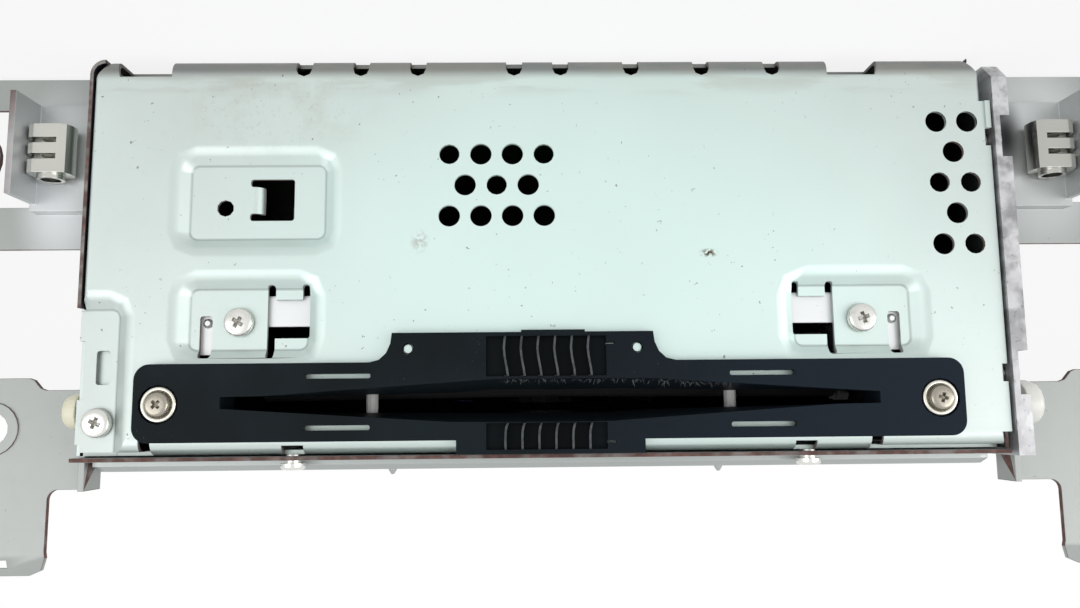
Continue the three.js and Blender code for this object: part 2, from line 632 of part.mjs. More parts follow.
// A solid through convex rings; each ring is { at, outline } with equal point counts
function loft(plane, rings) {
  const { basis, sign } = PLANES[plane];
  const ordered = rings.map(({ at, outline }) => ({ at: sign * at, outline })).sort((a, b) => a.at - b.at);
  const count = ordered[0].outline.length;
  const vertices = ordered.flatMap(({ at, outline }) => outline.flatMap((p) => [p.x, p.y, at]));
  const faces = [];
  for (let i = 0; i + 1 < ordered.length; i += 1) {
    for (let j = 0; j < count; j += 1) {
      const next = (j + 1) % count;
      const [a, b] = [i * count + j, i * count + next];
      faces.push(a, b, b + count, a, b + count, a + count);
    }
  }
  const top = (ordered.length - 1) * count;
  for (let j = 1; j + 1 < count; j += 1) {
    faces.push(0, j + 1, j, top, top + j, top + j + 1);
  }
  const geometry = new THREE.BufferGeometry();
  geometry.setAttribute("position", new THREE.Float32BufferAttribute(vertices, 3));
  geometry.setIndex(faces);
  return toSolid(geometry.applyMatrix4(basis));
}

// A turned solid about a line along +Z; the profile lists [radius, z] from the bottom of the axis up
function turned(x, y, profile, sides = ROUND_SIDES) {
  const geometry = new THREE.LatheGeometry(points(...profile), sides);
  geometry.rotateX(Math.PI / 2);
  return toSolid(geometry.translate(x, y, 0));
}

const MATERIALS = {
  steel: [0xccd3cf, 0.42, 0.75],
  bracketSteel: [0xb9bdba, 0.45, 0.75],
  deckSteel: [0xc4c9cc, 0.4, 0.8],
  aluminium: [0xb5b3b1, 0.5, 0.85],
  screw: [0xdadbd8, 0.3, 0.9],
  clip: [0xbdb7a8, 0.4, 0.85],
  black: [0x15171c, 0.45, 0],
  felt: [0x0c0c0e, 0.95, 0],
  cream: [0xe6dfc4, 0.5, 0],
  acetal: [0xd8d8d4, 0.5, 0],
  board: [0x2d5a34, 0.6, 0],
  rubber: [0x26262a, 0.85, 0],
  dark: [0x2b2b30, 0.6, 0],
  lens: [0x6c7fa8, 0.1, 0.1],
  flex: [0xc9b36a, 0.6, 0],
};

const group = new THREE.Group();

function place(name, solid, material) {
  const [color, roughness, metalness] = MATERIALS[material];
  const look = new THREE.MeshStandardMaterial({ color, roughness, metalness });
  const mesh = new THREE.Mesh(toGeometry(solid), look);
  mesh.name = name;
  group.add(mesh);
}

// A cross-head screw along a plane's third axis; "out" is +1 or -1, the way its head faces
function screw(plane, u, v, seat, out, sizes) {
  const { radius, height, length, shank = FACE_SCREW_RADIUS } = sizes;
  const top = seat + out * height;
  const head = loft(plane, [
    { at: seat, outline: circle(u, v, radius, ROUND_SIDES) },
    { at: seat + out * height * HEAD_LAND_SHARE, outline: circle(u, v, radius, ROUND_SIDES) },
    { at: top, outline: circle(u, v, radius * HEAD_LAND_SHARE, ROUND_SIDES) },
  ]);
  const ends = [seat - out * length, seat + out * height * HEAD_LAND_SHARE].sort((a, b) => a - b);
  const body = join(head, rod(plane, u, v, shank, ...ends));
  const half = Math.min(CROSS_LENGTH, radius) / 2;
  const deep = [top - out * CROSS_DEPTH, top + out * OVERRUN].sort((a, b) => a - b);
  const bar = (a, b) => {
    const outline = points([u - a, v - b], [u + a, v - b], [u + a, v + b], [u - a, v + b]);
    return extrude(plane, outline, ...deep);
  };
  return cut(body, bar(half, CROSS_WIDTH / 2), bar(CROSS_WIDTH / 2, half));
}

// A pressed recess in the front sheet: the pan that is added, and the space that is cut
function recess(x0, x1, z0, z1) {
  const step = (bevel, at, wall) => {
    const grow = bevel + wall;
    const outline = roundedRect(x0 - grow, x1 + grow, z0 - grow, z1 + grow, RECESS_RADIUS + bevel);
    return { at, outline };
  };
  const floor = FACE_Y + RECESS_DEPTH;
  const slope = RECESS_BEVEL / RECESS_DEPTH;
  return {
    pan: loft("XZ", [step(RECESS_BEVEL, FACE_Y + SHEET / 2, SHEET), step(0, floor + SHEET, SHEET)]),
    space: loft("XZ", [step(RECESS_BEVEL + OVERRUN * slope, FACE_Y - OVERRUN, 0), step(0, floor, 0)]),
  };
}

// The front sheet's solid block, and the same shrunk by the sheet
function plateBlock(inset) {
  const radius = ROLL_RADIUS - inset;
  const bend = SIDE_BEND_RADIUS - inset;
  const front = FACE_Y + inset;
  const back = FACE_Y + PLATE_FLANGE + (inset > 0 ? OVERRUN : 0);
  const [low, high] = [inset, PLATE_HEIGHT - inset];
  const side = PLATE_HALF - inset;
  const profile = new THREE.Shape();
  profile.moveTo(back, low);
  profile.lineTo(back, high);
  profile.lineTo(front + radius, high);
  profile.absarc(front + radius, high - radius, radius, Math.PI / 2, Math.PI, false);
  profile.absarc(front + radius, low + radius, radius, Math.PI, 1.5 * Math.PI, false);
  profile.closePath();
  const plan = new THREE.Shape();
  plan.moveTo(side, back);
  plan.lineTo(-side, back);
  plan.absarc(-side + bend, front + bend, bend, Math.PI, 1.5 * Math.PI, false);
  plan.absarc(side - bend, front + bend, bend, 1.5 * Math.PI, 2 * Math.PI, false);
  plan.closePath();
  const along = extrude("YZ", profile, -side, side);
  return along.intersect(extrude("XY", plan, low - OVERRUN, high + OVERRUN));
}

// The lens-shaped slot outline: low ends, a flat middle
function slotOutline(halfLength, flatHalf, endHalf, centreHalf) {
  return points(
    [SLOT_X + halfLength, SLOT_Z - endHalf], [SLOT_X + halfLength, SLOT_Z + endHalf],
    [SLOT_X + flatHalf, SLOT_Z + centreHalf], [SLOT_X - flatHalf, SLOT_Z + centreHalf],
    [SLOT_X - halfLength, SLOT_Z + endHalf], [SLOT_X - halfLength, SLOT_Z - endHalf],
    [SLOT_X - flatHalf, SLOT_Z - centreHalf], [SLOT_X + flatHalf, SLOT_Z - centreHalf],
  );
}

function frontPlate() {
  const outer = plateBlock(0);
  let plate = cut(outer, plateBlock(SHEET));
  const through = (outline) => extrude("XZ", outline, FACE_Y - OVERRUN, FACE_Y + NOTCH_DEPTH + OVERRUN);
  const hole = (x, z, radius, sides = SMALL_SIDES) => through(circle(x, z, radius, sides));
  const window = (x0, x1, z0, z1, radius = FINGER_WIDTH / 3) => through(roundedRect(x0, x1, z0, z1, radius));

  const panel = recess(PANEL_LEFT, PANEL_RIGHT, PANEL_BOTTOM, PANEL_TOP);
  const strip = recess(STRIP_LEFT, PLATE_HALF + RECESS_BEVEL + OVERRUN, STRIP_BOTTOM,
    PLATE_HEIGHT + RECESS_BEVEL + OVERRUN);
  const pads = [1, -1].map((side) => {
    const ends = [DECK_X + side * PAD_INNER_OFFSET, DECK_X + side * PAD_OUTER_OFFSET].sort((a, b) => a - b);
    return recess(...ends, PAD_BOTTOM, PAD_TOP);
  });
  const recesses = [panel, strip, ...pads];
  plate = join(plate, ...recesses.map((each) => each.pan.intersect(outer)));
  plate = cut(plate, ...recesses.map((each) => each.space));

  // Vents: three rows of four and three, and a staggered column of ones and twos
  for (let row = 0; row < CENTRE_VENT_ROWS; row += 1) {
    const odd = row % 2;
    for (let i = 0; i < CENTRE_VENTS_A_ROW - odd; i += 1) {
      const x = CENTRE_VENT_X - VENT_PITCH * (i + odd / 2);
      plate = cut(plate, hole(x, CENTRE_VENT_Z + VENT_PITCH * row, VENT_RADIUS, ROUND_SIDES));
    }
  }
  for (let row = 0; row < CORNER_VENT_ROWS; row += 1) {
    const odd = row % 2;
    for (let i = 0; i < CORNER_VENTS_A_ROW - odd; i += 1) {
      const x = CORNER_VENT_X + VENT_PITCH * (i + odd / 2);
      plate = cut(plate, hole(x, CORNER_VENT_Z + VENT_PITCH * row, VENT_RADIUS, ROUND_SIDES));
    }
  }

  // The window panel: a round hole and a window with two fingers
  const windowLeft = PANEL_WINDOW_X - PANEL_WINDOW_WIDTH / 2;
  const windowRight = PANEL_WINDOW_X + PANEL_WINDOW_WIDTH / 2;
  const windowLow = PANEL_WINDOW_Z - PANEL_WINDOW_HEIGHT / 2;
  const windowHigh = PANEL_WINDOW_Z + PANEL_WINDOW_HEIGHT / 2;
  const stop = windowRight - FINGER_LENGTH;
  plate = cut(plate,
    hole(PANEL_HOLE_X, PANEL_HOLE_Z, PANEL_HOLE_RADIUS),
    window(windowLeft, stop, windowLow, windowHigh),
    window(stop - FINGER_LENGTH, windowRight, windowLow, windowLow + FINGER_WIDTH),
    window(stop - FINGER_LENGTH, windowRight, windowHigh - FINGER_WIDTH, windowHigh));

  // Each pad: screw hole, tongue slot and an L-shaped window with two fingers
  for (const side of [1, -1]) {
    const at = (offset) => DECK_X + side * offset;
    const sideWindow = (near, far, z0, z1) => {
      const [x0, x1] = [at(near), at(far)].sort((a, b) => a - b);
      return window(x0, x1, z0, z1);
    };
    const fingersLow = PAD_WINDOW_BOTTOM - FINGER_LENGTH;
    plate = cut(plate,
      hole(at(PAD_SCREW_OFFSET), PAD_SCREW_Z, FACE_SCREW_RADIUS + GAP),
      sideWindow(PAD_SLOT_OFFSET - PAD_SLOT_WIDTH / 2, PAD_SLOT_OFFSET + PAD_SLOT_WIDTH / 2,
        PAD_SLOT_BOTTOM, PAD_SLOT_TOP),
      sideWindow(PAD_WINDOW_NEAR, PAD_WINDOW_FAR, PAD_WINDOW_BOTTOM, PAD_WINDOW_TOP),
      sideWindow(PAD_WINDOW_NEAR, PAD_WINDOW_NEAR + FINGER_WIDTH, fingersLow, PAD_WINDOW_TOP),
      sideWindow(PAD_WINDOW_FAR - FINGER_WIDTH, PAD_WINDOW_FAR, fingersLow, PAD_FINGER_TOP));
  }

  // The corner strip's slot and the screw holes
  plate = cut(plate,
    window(STRIP_SLOT_X - STRIP_SLOT_WIDTH / 2, STRIP_SLOT_X + STRIP_SLOT_WIDTH / 2,
      STRIP_SLOT_BOTTOM, STRIP_SLOT_TOP),
    hole(CORNER_SCREW_X, CORNER_SCREW_Z, FACE_SCREW_RADIUS + GAP),
    hole(SLOT_X + BEZEL_SCREW_OFFSET, BEZEL_SCREW_Z, FACE_SCREW_RADIUS + GAP),
    hole(SLOT_X - BEZEL_SCREW_OFFSET, BEZEL_SCREW_Z, FACE_SCREW_RADIUS + GAP));

  // The slot that the bezel's throat goes through
  plate = cut(plate, through(slotOutline(SLOT_HALF_LENGTH + THROAT_WALL + GAP, SLOT_FLAT_HALF,
    THROAT_END_HALF + THROAT_WALL + GAP, MOUTH_CENTRE_HALF + GAP + GAP)));

  // Both side edges lap over the tray's walls, and are notched beside the screws
  const leftEdge = -PLATE_HALF - LEFT_EDGE_LAP;
  const edgeTop = PLATE_HEIGHT - ROLL_RADIUS;
  plate = join(plate,
    box(leftEdge, -PLATE_HALF + SIDE_BEND_RADIUS, FACE_Y, FACE_Y + SHEET, LEFT_EDGE_BOTTOM, edgeTop),
    box(leftEdge + LEFT_EDGE_LAP - LEFT_TAB_LAP, leftEdge + SHEET, FACE_Y - SHEET / 2, FACE_Y + SHEET / 2,
      LEFT_EDGE_BOTTOM, LEFT_TAB_TOP),
    box(PLATE_HALF - STRIP_LAP, PLATE_HALF + STRIP_LAP, FACE_Y + RECESS_DEPTH, FACE_Y + RECESS_DEPTH + SHEET,
      STRIP_BOTTOM, edgeTop + SHEET));
  for (const z of [SIDE_SCREW_LOW, SIDE_SCREW_HIGH]) {
    plate = cut(plate, box(leftEdge - OVERRUN, leftEdge + EDGE_NOTCH_DEPTH, FACE_Y - OVERRUN, FACE_Y + OVERRUN,
      z - EDGE_NOTCH_HEIGHT / 2, z + EDGE_NOTCH_HEIGHT / 2));
  }
  plate = cut(plate, box(PLATE_HALF, PLATE_HALF + OVERRUN, FACE_Y, FACE_Y + PLATE_FLANGE,
    STRIP_NOTCH_BOTTOM, STRIP_NOTCH_TOP));
  // The side flange is cut away behind the corner strip, where the tray's tab passes
  plate = cut(plate, box(PLATE_HALF - SHEET - GAP, PLATE_HALF + OVERRUN,
    FACE_Y + RECESS_DEPTH + SHEET + GAP / 2, FACE_Y + PLATE_FLANGE + OVERRUN,
    STRIP_BOTTOM - GAP, PLATE_HEIGHT - SHEET - GAP));

  // Both lower corners are trimmed, clear of the tray's bends
  for (const side of [1, -1]) {
    const past = side * (PLATE_HALF + OVERRUN);
    const rise = (PLATE_TRIM_HEIGHT / PLATE_TRIM_WIDTH) * OVERRUN;
    const corner = points([side * (PLATE_HALF - PLATE_TRIM_WIDTH) - (side * OVERRUN), -rise],
      [past, -rise], [past, PLATE_TRIM_HEIGHT + rise]);
    plate = cut(plate, extrude("XZ", side > 0 ? corner : corner.reverse(),
      FACE_Y - OVERRUN, FACE_Y + PLATE_FLANGE + OVERRUN));
  }

  // Notches along the lower and the upper roll
  for (const share of NOTCH_SHARES) {
    const x = share * PLATE_HALF;
    const half = NOTCH_WIDTH / 2;
    const corner = NOTCH_WIDTH * NOTCH_CORNER_SHARE;
    const outline = roundedRect(x - half, x + half, -NOTCH_HEIGHT, NOTCH_HEIGHT, corner);
    plate = cut(plate, extrude("XZ", outline, FACE_Y - OVERRUN, FACE_Y + NOTCH_DEPTH));
  }
  for (const [left, right] of WIDE_NOTCH_SHARES) {
    const [x0, x1] = [left * PLATE_HALF, right * PLATE_HALF];
    const slant0 = left < 0 ? WIDE_NOTCH_SLANT : 0;
    const slant1 = left < 0 ? 0 : WIDE_NOTCH_SLANT;
    const outline = points([x0 - slant0, -OVERRUN], [x1 + slant1, -OVERRUN],
      [x1, NOTCH_HEIGHT], [x0, NOTCH_HEIGHT]);
    plate = cut(plate, extrude("XZ", outline, FACE_Y - OVERRUN, FACE_Y + WIDE_NOTCH_DEPTH));
  }
  for (const share of TOP_NOTCH_SHARES) {
    const x = share * PLATE_HALF;
    plate = cut(plate, box(x - TOP_NOTCH_WIDTH / 2, x + TOP_NOTCH_WIDTH / 2,
      FACE_Y - OVERRUN, FACE_Y + NOTCH_DEPTH, PLATE_HEIGHT - TOP_NOTCH_HEIGHT, PLATE_HEIGHT + OVERRUN));
  }
  for (const [left, right] of CORNER_SLIT_SHARES) {
    plate = cut(plate, box(left * PLATE_HALF, right * PLATE_HALF, FACE_Y - OVERRUN, FACE_Y + NOTCH_DEPTH,
      PLATE_HEIGHT - CORNER_SLIT_HEIGHT, PLATE_HEIGHT + OVERRUN));
  }

  for (const share of RELIEF_SHARES) {
    const x = share * PLATE_HALF;
    plate = cut(plate, box(x - RELIEF_WIDTH / 2, x + RELIEF_WIDTH / 2, FACE_Y - OVERRUN, FACE_Y + NOTCH_DEPTH,
      RELIEF_BOTTOM, PLATE_HEIGHT + OVERRUN));
  }

  // Holes in the side flange for the heat sink's screws
  for (const z of [SIDE_SCREW_LOW, SIDE_SCREW_HIGH]) {
    plate = cut(plate, rod("YZ", SIDE_SCREW_Y, z, FACE_SCREW_RADIUS + GAP,
      -PLATE_HALF - OVERRUN, -PLATE_HALF + OVERRUN));
  }

  // Locating pins for the bezel
  for (const side of [1, -1]) {
    const x = LOWER_HUMP_X + side * LOCATING_PIN_OFFSET;
    plate = join(plate, rod("XZ", x, LOCATING_PIN_Z, LOCATING_PIN_RADIUS,
      BEZEL_FACE + BEZEL_THICKNESS / 3, FACE_Y + SHEET / 2));
  }
  return plate;
}

// An outline with square upper corners and round lower ones, for what lies in the bent tray
function trayOutline(half, low, high, radius) {
  const shape = new THREE.Shape();
  shape.moveTo(half, high);
  shape.lineTo(-half, high);
  shape.absarc(-half + radius, low + radius, radius, Math.PI, 1.5 * Math.PI, false);
  shape.absarc(half - radius, low + radius, radius, 1.5 * Math.PI, 2 * Math.PI, false);
  shape.closePath();
  return shape;
}

function caseTray() {
  let tray = cut(
    extrude("XZ", trayOutline(WALL_OUTER, 0, PLATE_HEIGHT, TRAY_BEND_RADIUS), FACE_Y + GAP, REAR_Y),
    extrude("XZ", trayOutline(WALL_INNER, SHEET, PLATE_HEIGHT + OVERRUN, TRAY_BEND_RADIUS - SHEET),
      FACE_Y - OVERRUN, REAR_Y + OVERRUN));
  // The floor starts behind the front plate's flange, and the left wall behind the plate's lapped edge
  const floorHalf = WALL_OUTER - TRAY_BEND_RADIUS;
  tray = cut(tray,
    box(-floorHalf, floorHalf, FACE_Y - OVERRUN, FACE_Y + PLATE_FLANGE + GAP, -OVERRUN, SHEET + OVERRUN),
    box(-WALL_OUTER - OVERRUN, 0, FACE_Y - OVERRUN, FACE_Y + SHEET + GAP, -OVERRUN, PLATE_HEIGHT + OVERRUN));
  for (const sx of [1, -1]) {
    for (const sy of [1, -1]) {
      const x = (sx * STANDOFF_SHARE * BOARD_WIDTH) / 2;
      const y = BOARD_Y + (sy * STANDOFF_SHARE * BOARD_DEPTH) / 2;
      tray = join(tray, rod("XY", x, y, STANDOFF_RADIUS, SHEET / 2, BOARD_Z - GAP));
    }
  }
  const sideHole = (side, y, z) => rod("YZ", y, z, FACE_SCREW_RADIUS + GAP,
    ...[side * (WALL_INNER - OVERRUN), side * (WALL_OUTER + OVERRUN)].sort((a, b) => a - b));
  tray = cut(tray, sideHole(-1, SIDE_SCREW_Y, SIDE_SCREW_LOW), sideHole(-1, SIDE_SCREW_Y, SIDE_SCREW_HIGH));
  for (const side of [1, -1]) {
    for (const z of [BRACKET_SCREW_LOW, BRACKET_SCREW_HIGH]) {
      tray = cut(tray, sideHole(side, BRACKET_SCREW_Y, z));
    }
  }
  // The right wall steps back behind the corner strip, and a tab there takes the corner screw
  tray = cut(tray, box(WALL_INNER - OVERRUN, WALL_OUTER + OVERRUN, FACE_Y - OVERRUN, TAB_FRONT,
    STRIP_BOTTOM - GAP, PLATE_HEIGHT + OVERRUN));
  tray = join(tray, box(STRIP_TAB_LEFT, WALL_INNER + SHEET / 2, TAB_FRONT, TAB_FRONT + SHEET, STRIP_BOTTOM,
    PLATE_HEIGHT - 2 * SHEET));
  // The left wall's lower front corner is cut back
  tray = cut(tray, box(-WALL_OUTER - OVERRUN, -WALL_INNER + OVERRUN,
    FACE_Y - OVERRUN, FACE_Y + PLATE_FLANGE / 2, -OVERRUN, LEFT_EDGE_BOTTOM));
  return cut(tray, rod("XZ", CORNER_SCREW_X, CORNER_SCREW_Z, FACE_SCREW_RADIUS + GAP,
    FACE_Y, TAB_FRONT + OVERRUN));
}

function topCover() {
  const front = FACE_Y + GAP;
  const ledge = box(-WALL_OUTER, WALL_OUTER, front, REAR_Y, LEDGE_Z, LEDGE_Z + SHEET);
  const pan = (inset, from, to) => {
    const ring = (bevel) => roundedRect(-WALL_OUTER + COVER_LEDGE_SIDE + inset + bevel,
      WALL_OUTER - COVER_LEDGE_SIDE - inset - bevel, FACE_Y + COVER_LEDGE_FRONT + inset + bevel,
      REAR_Y - COVER_LEDGE_SIDE - inset - bevel, ROLL_RADIUS);
    return loft("XY", [{ at: from, outline: ring(0) }, { at: to - COVER_BEVEL, outline: ring(0) },
      { at: to, outline: ring(COVER_BEVEL) }]);
  };
  let cover = join(ledge, pan(0, LEDGE_Z + SHEET / 2, COVER_TOP));
  cover = cut(cover, pan(SHEET, LEDGE_Z - OVERRUN, COVER_TOP - SHEET));
  for (const x of [SLOT_X + COVER_SCREW_OFFSET, SLOT_X - COVER_SCREW_OFFSET]) {
    const y = FACE_Y + COVER_LEDGE_FRONT / 2;
    cover = cut(cover, rod("XY", x, y, FACE_SCREW_RADIUS + GAP, LEDGE_Z - OVERRUN, COVER_TOP));
  }
  // Two small bumps behind the front edge
  for (const share of COVER_BUMP_SHARES) {
    const y = FACE_Y + COVER_LEDGE_FRONT + ROLL_RADIUS;
    const bump = [[SHEET, COVER_TOP - SHEET / 2], [SHEET, COVER_TOP + SHEET / 3],
      [SHEET / 3, COVER_TOP + SHEET + GAP]];
    const rings = bump.map(([radius, at]) => ({ at, outline: circle(share * WALL_OUTER, y, radius) }));
    cover = join(cover, loft("XY", rings));
  }
  return cover;
}

function rearPanel() {
  const outline = trayOutline(PLATE_HALF, SHEET + GAP, PLATE_HEIGHT, TRAY_BEND_RADIUS - SHEET - GAP);
  const panel = extrude("XZ", outline, REAR_Y - SHEET, REAR_Y);
  const low = BOARD_TOP + GAP;
  return cut(panel,
    box(CONNECTOR_X - CONNECTOR_WIDTH / 2 - GAP, CONNECTOR_X + CONNECTOR_WIDTH / 2 + GAP, REAR_Y - OVERRUN,
      REAR_Y + OVERRUN, low - GAP, low + CONNECTOR_HEIGHT + GAP),
    rod("XZ", ANTENNA_X, ANTENNA_Z, ANTENNA_RADIUS + GAP, REAR_Y - OVERRUN, REAR_Y + OVERRUN, ROUND_SIDES));
}

function bezelOutline() {
  const left = SLOT_X - BEZEL_HALF;
  const right = SLOT_X + BEZEL_HALF;
  const lowZ = BEZEL_BOTTOM - LOWER_HUMP_DROP;
  const highZ = BEZEL_TOP + UPPER_HUMP_RISE;
  const [lowLeft, lowRight] = [LOWER_HUMP_X - LOWER_HUMP_HALF, LOWER_HUMP_X + LOWER_HUMP_HALF];
  const [highLeft, highRight] = [UPPER_HUMP_X - UPPER_HUMP_HALF, UPPER_HUMP_X + UPPER_HUMP_HALF];
  const r = BEZEL_RADIUS;
  const shape = new THREE.Shape();
  shape.moveTo(left + r, BEZEL_BOTTOM);
  shape.lineTo(lowLeft - LOWER_HUMP_FILLET, BEZEL_BOTTOM);
  shape.bezierCurveTo(lowLeft - LOWER_HUMP_FILLET / 3, BEZEL_BOTTOM, lowLeft, (BEZEL_BOTTOM + lowZ) / 2,
    lowLeft, lowZ);
  shape.lineTo(lowRight, lowZ);
  shape.bezierCurveTo(lowRight, (BEZEL_BOTTOM + lowZ) / 2, lowRight + LOWER_HUMP_FILLET / 3, BEZEL_BOTTOM,
    lowRight + LOWER_HUMP_FILLET, BEZEL_BOTTOM);
  shape.lineTo(right - r, BEZEL_BOTTOM);
  shape.absarc(right - r, BEZEL_BOTTOM + r, r, -Math.PI / 2, 0, false);
  shape.absarc(right - r, BEZEL_TOP - r, r, 0, Math.PI / 2, false);
  shape.lineTo(highRight, BEZEL_TOP);
  shape.lineTo(highRight, highZ);
  shape.lineTo(highLeft, highZ);
  shape.lineTo(highLeft, BEZEL_TOP);
  shape.lineTo(left + r, BEZEL_TOP);
  shape.absarc(left + r, BEZEL_TOP - r, r, Math.PI / 2, Math.PI, false);
  shape.absarc(left + r, BEZEL_BOTTOM + r, r, Math.PI, 1.5 * Math.PI, false);
  return shape;
}

function slotBezel() {
  const throat = slotOutline(SLOT_HALF_LENGTH + THROAT_WALL, SLOT_FLAT_HALF, THROAT_END_HALF + THROAT_WALL,
    MOUTH_CENTRE_HALF + GAP);
  let bezel = join(
    extrude("XZ", bezelOutline(), BEZEL_FACE, BEZEL_BACK),
    extrude("XZ", throat, BEZEL_BACK - BEZEL_THICKNESS / 2, THROAT_BACK),
    box(LOWER_STEP_X - LOWER_STEP_HALF, LOWER_STEP_X + LOWER_STEP_HALF, BEZEL_FACE, BEZEL_BACK,
      BEZEL_BOTTOM - LOWER_HUMP_DROP - LOWER_STEP_DROP, BEZEL_BOTTOM));

  // Finger pockets between thin fins, below and above the slot
  const bands = [[LOWER_FIN_BOTTOM, LOWER_FIN_TOP], [UPPER_FIN_BOTTOM, UPPER_FIN_TOP]];
  for (const [low, high] of bands) {
    const lastX = FIN_FIRST_X - FIN_PITCH * (FIN_COUNT - 1);
    bezel = cut(bezel, box(lastX, FIN_FIRST_X + FIN_LEAD, BEZEL_FACE - OVERRUN, BEZEL_FACE + FIN_POCKET_DEPTH,
      low, high));
    for (let i = 0; i < FIN_COUNT - 1; i += 1) {
      const x = FIN_FIRST_X - FIN_PITCH * i;
      bezel = join(bezel, box(x - FIN_THICKNESS / 2, x + FIN_THICKNESS / 2, BEZEL_FACE - FIN_PROUD,
        BEZEL_FACE + FIN_POCKET_DEPTH + FIN_THICKNESS / 3, low, high));
    }
  }

  // The tapered slot, from the wide mouth to the throat's back
  const atY = (share) => BEZEL_FACE + share * (THROAT_BACK - BEZEL_FACE);
  const ring = (share) => slotOutline(SLOT_HALF_LENGTH, SLOT_FLAT_HALF,
    MOUTH_END_HALF + share * (THROAT_END_HALF - MOUTH_END_HALF),
    MOUTH_CENTRE_HALF + share * (THROAT_CENTRE_HALF - MOUTH_CENTRE_HALF));
  const past = OVERRUN / (THROAT_BACK - BEZEL_FACE);
  const mouth = [-past, 1 + past].map((share) => ({ at: atY(share), outline: ring(share) }));
  bezel = cut(bezel, loft("XZ", mouth));

  const through = (outline) => extrude("XZ", outline, BEZEL_FACE - OVERRUN, BEZEL_BACK + GAP / 2);
  for (const side of [1, -1]) {
    const slitX = SLIT_X + side * SLIT_OFFSET;
    for (const level of [1, -1]) {
      const slitZ = SLOT_Z + level * SLIT_SPREAD;
      bezel = cut(bezel, through(roundedRect(slitX - SLIT_LENGTH / 2, slitX + SLIT_LENGTH / 2,
        slitZ - SLIT_HEIGHT / 2, slitZ + SLIT_HEIGHT / 2, SLIT_HEIGHT / 3)));
    }
    bezel = cut(bezel,
      through(circle(LOWER_HUMP_X + side * LOCATING_PIN_OFFSET, LOCATING_PIN_Z, LOCATING_PIN_RADIUS + GAP)),
      through(circle(SLOT_X + side * BEZEL_SCREW_OFFSET, BEZEL_SCREW_Z, FACE_SCREW_RADIUS + GAP)),
      extrude("XZ", circle(SLOT_X + side * BEZEL_SCREW_OFFSET, BEZEL_SCREW_Z, WASHER_RADIUS + GAP, ROUND_SIDES),
        BEZEL_FACE - OVERRUN, BEZEL_FACE + BEZEL_POCKET_DEPTH));
  }
  return bezel;
}

// A felt strip behind the throat, above (+1) or below (-1) the slot
function dustFelt(level) {
  const near = SLOT_Z + level * THROAT_CENTRE_HALF;
  const far = near + level * FELT_HEIGHT;
  return box(SLOT_X - SLOT_HALF_LENGTH, SLOT_X + SLOT_HALF_LENGTH, THROAT_BACK + GAP,
    THROAT_BACK + GAP + FELT_THICKNESS, Math.min(near, far), Math.max(near, far));
}

function bezelWasher(x) {
  const seat = BEZEL_FACE + BEZEL_POCKET_DEPTH - GAP;
  const ring = (rise, radius) => ({
    at: seat - rise, outline: circle(x, BEZEL_SCREW_Z, radius, ROUND_SIDES),
  });
  const washer = loft("XZ", [ring(0, WASHER_RADIUS), ring(WASHER_THICKNESS / 2, WASHER_RADIUS),
    ring(WASHER_THICKNESS, WASHER_RADIUS - WASHER_THICKNESS)]);
  return cut(washer, rod("XZ", x, BEZEL_SCREW_Z, FACE_SCREW_RADIUS + GAP, seat - OVERRUN, seat + OVERRUN));
}

function heatSink() {
  const [inner, outer] = [HEAT_SINK_INNER, HEAT_SINK_OUTER];
  const front = FACE_Y - HEAT_SINK_PROUD;
  const back = front + HEAT_SINK_LENGTH;
  const profile = points([front + HEAT_SINK_CHAMFER, HEAT_SINK_BOTTOM], [back, HEAT_SINK_BOTTOM],
    [back, HEAT_SINK_TOP], [front, HEAT_SINK_TOP], [front, HEAT_SINK_BOTTOM + HEAT_SINK_CHAMFER]);
  let plate = extrude("YZ", profile, -outer, -inner);
  for (const z of [SIDE_SCREW_LOW, SIDE_SCREW_HIGH]) {
    plate = cut(plate,
      box(-outer - OVERRUN, -outer + HEAT_WINDOW_DEPTH, front - OVERRUN, front + HEAT_WINDOW_LENGTH,
        z - HEAT_WINDOW_HEIGHT / 2, z + HEAT_WINDOW_HEIGHT / 2),
      rod("YZ", SIDE_SCREW_Y, z, FACE_SCREW_RADIUS + GAP, -outer, -inner + OVERRUN));
  }
  for (const z of [BRACKET_SCREW_LOW, BRACKET_SCREW_HIGH]) {
    plate = cut(plate, rod("YZ", BRACKET_SCREW_Y, z, FACE_SCREW_RADIUS + GAP,
      -outer - OVERRUN, -inner + OVERRUN));
  }
  return plate;
}

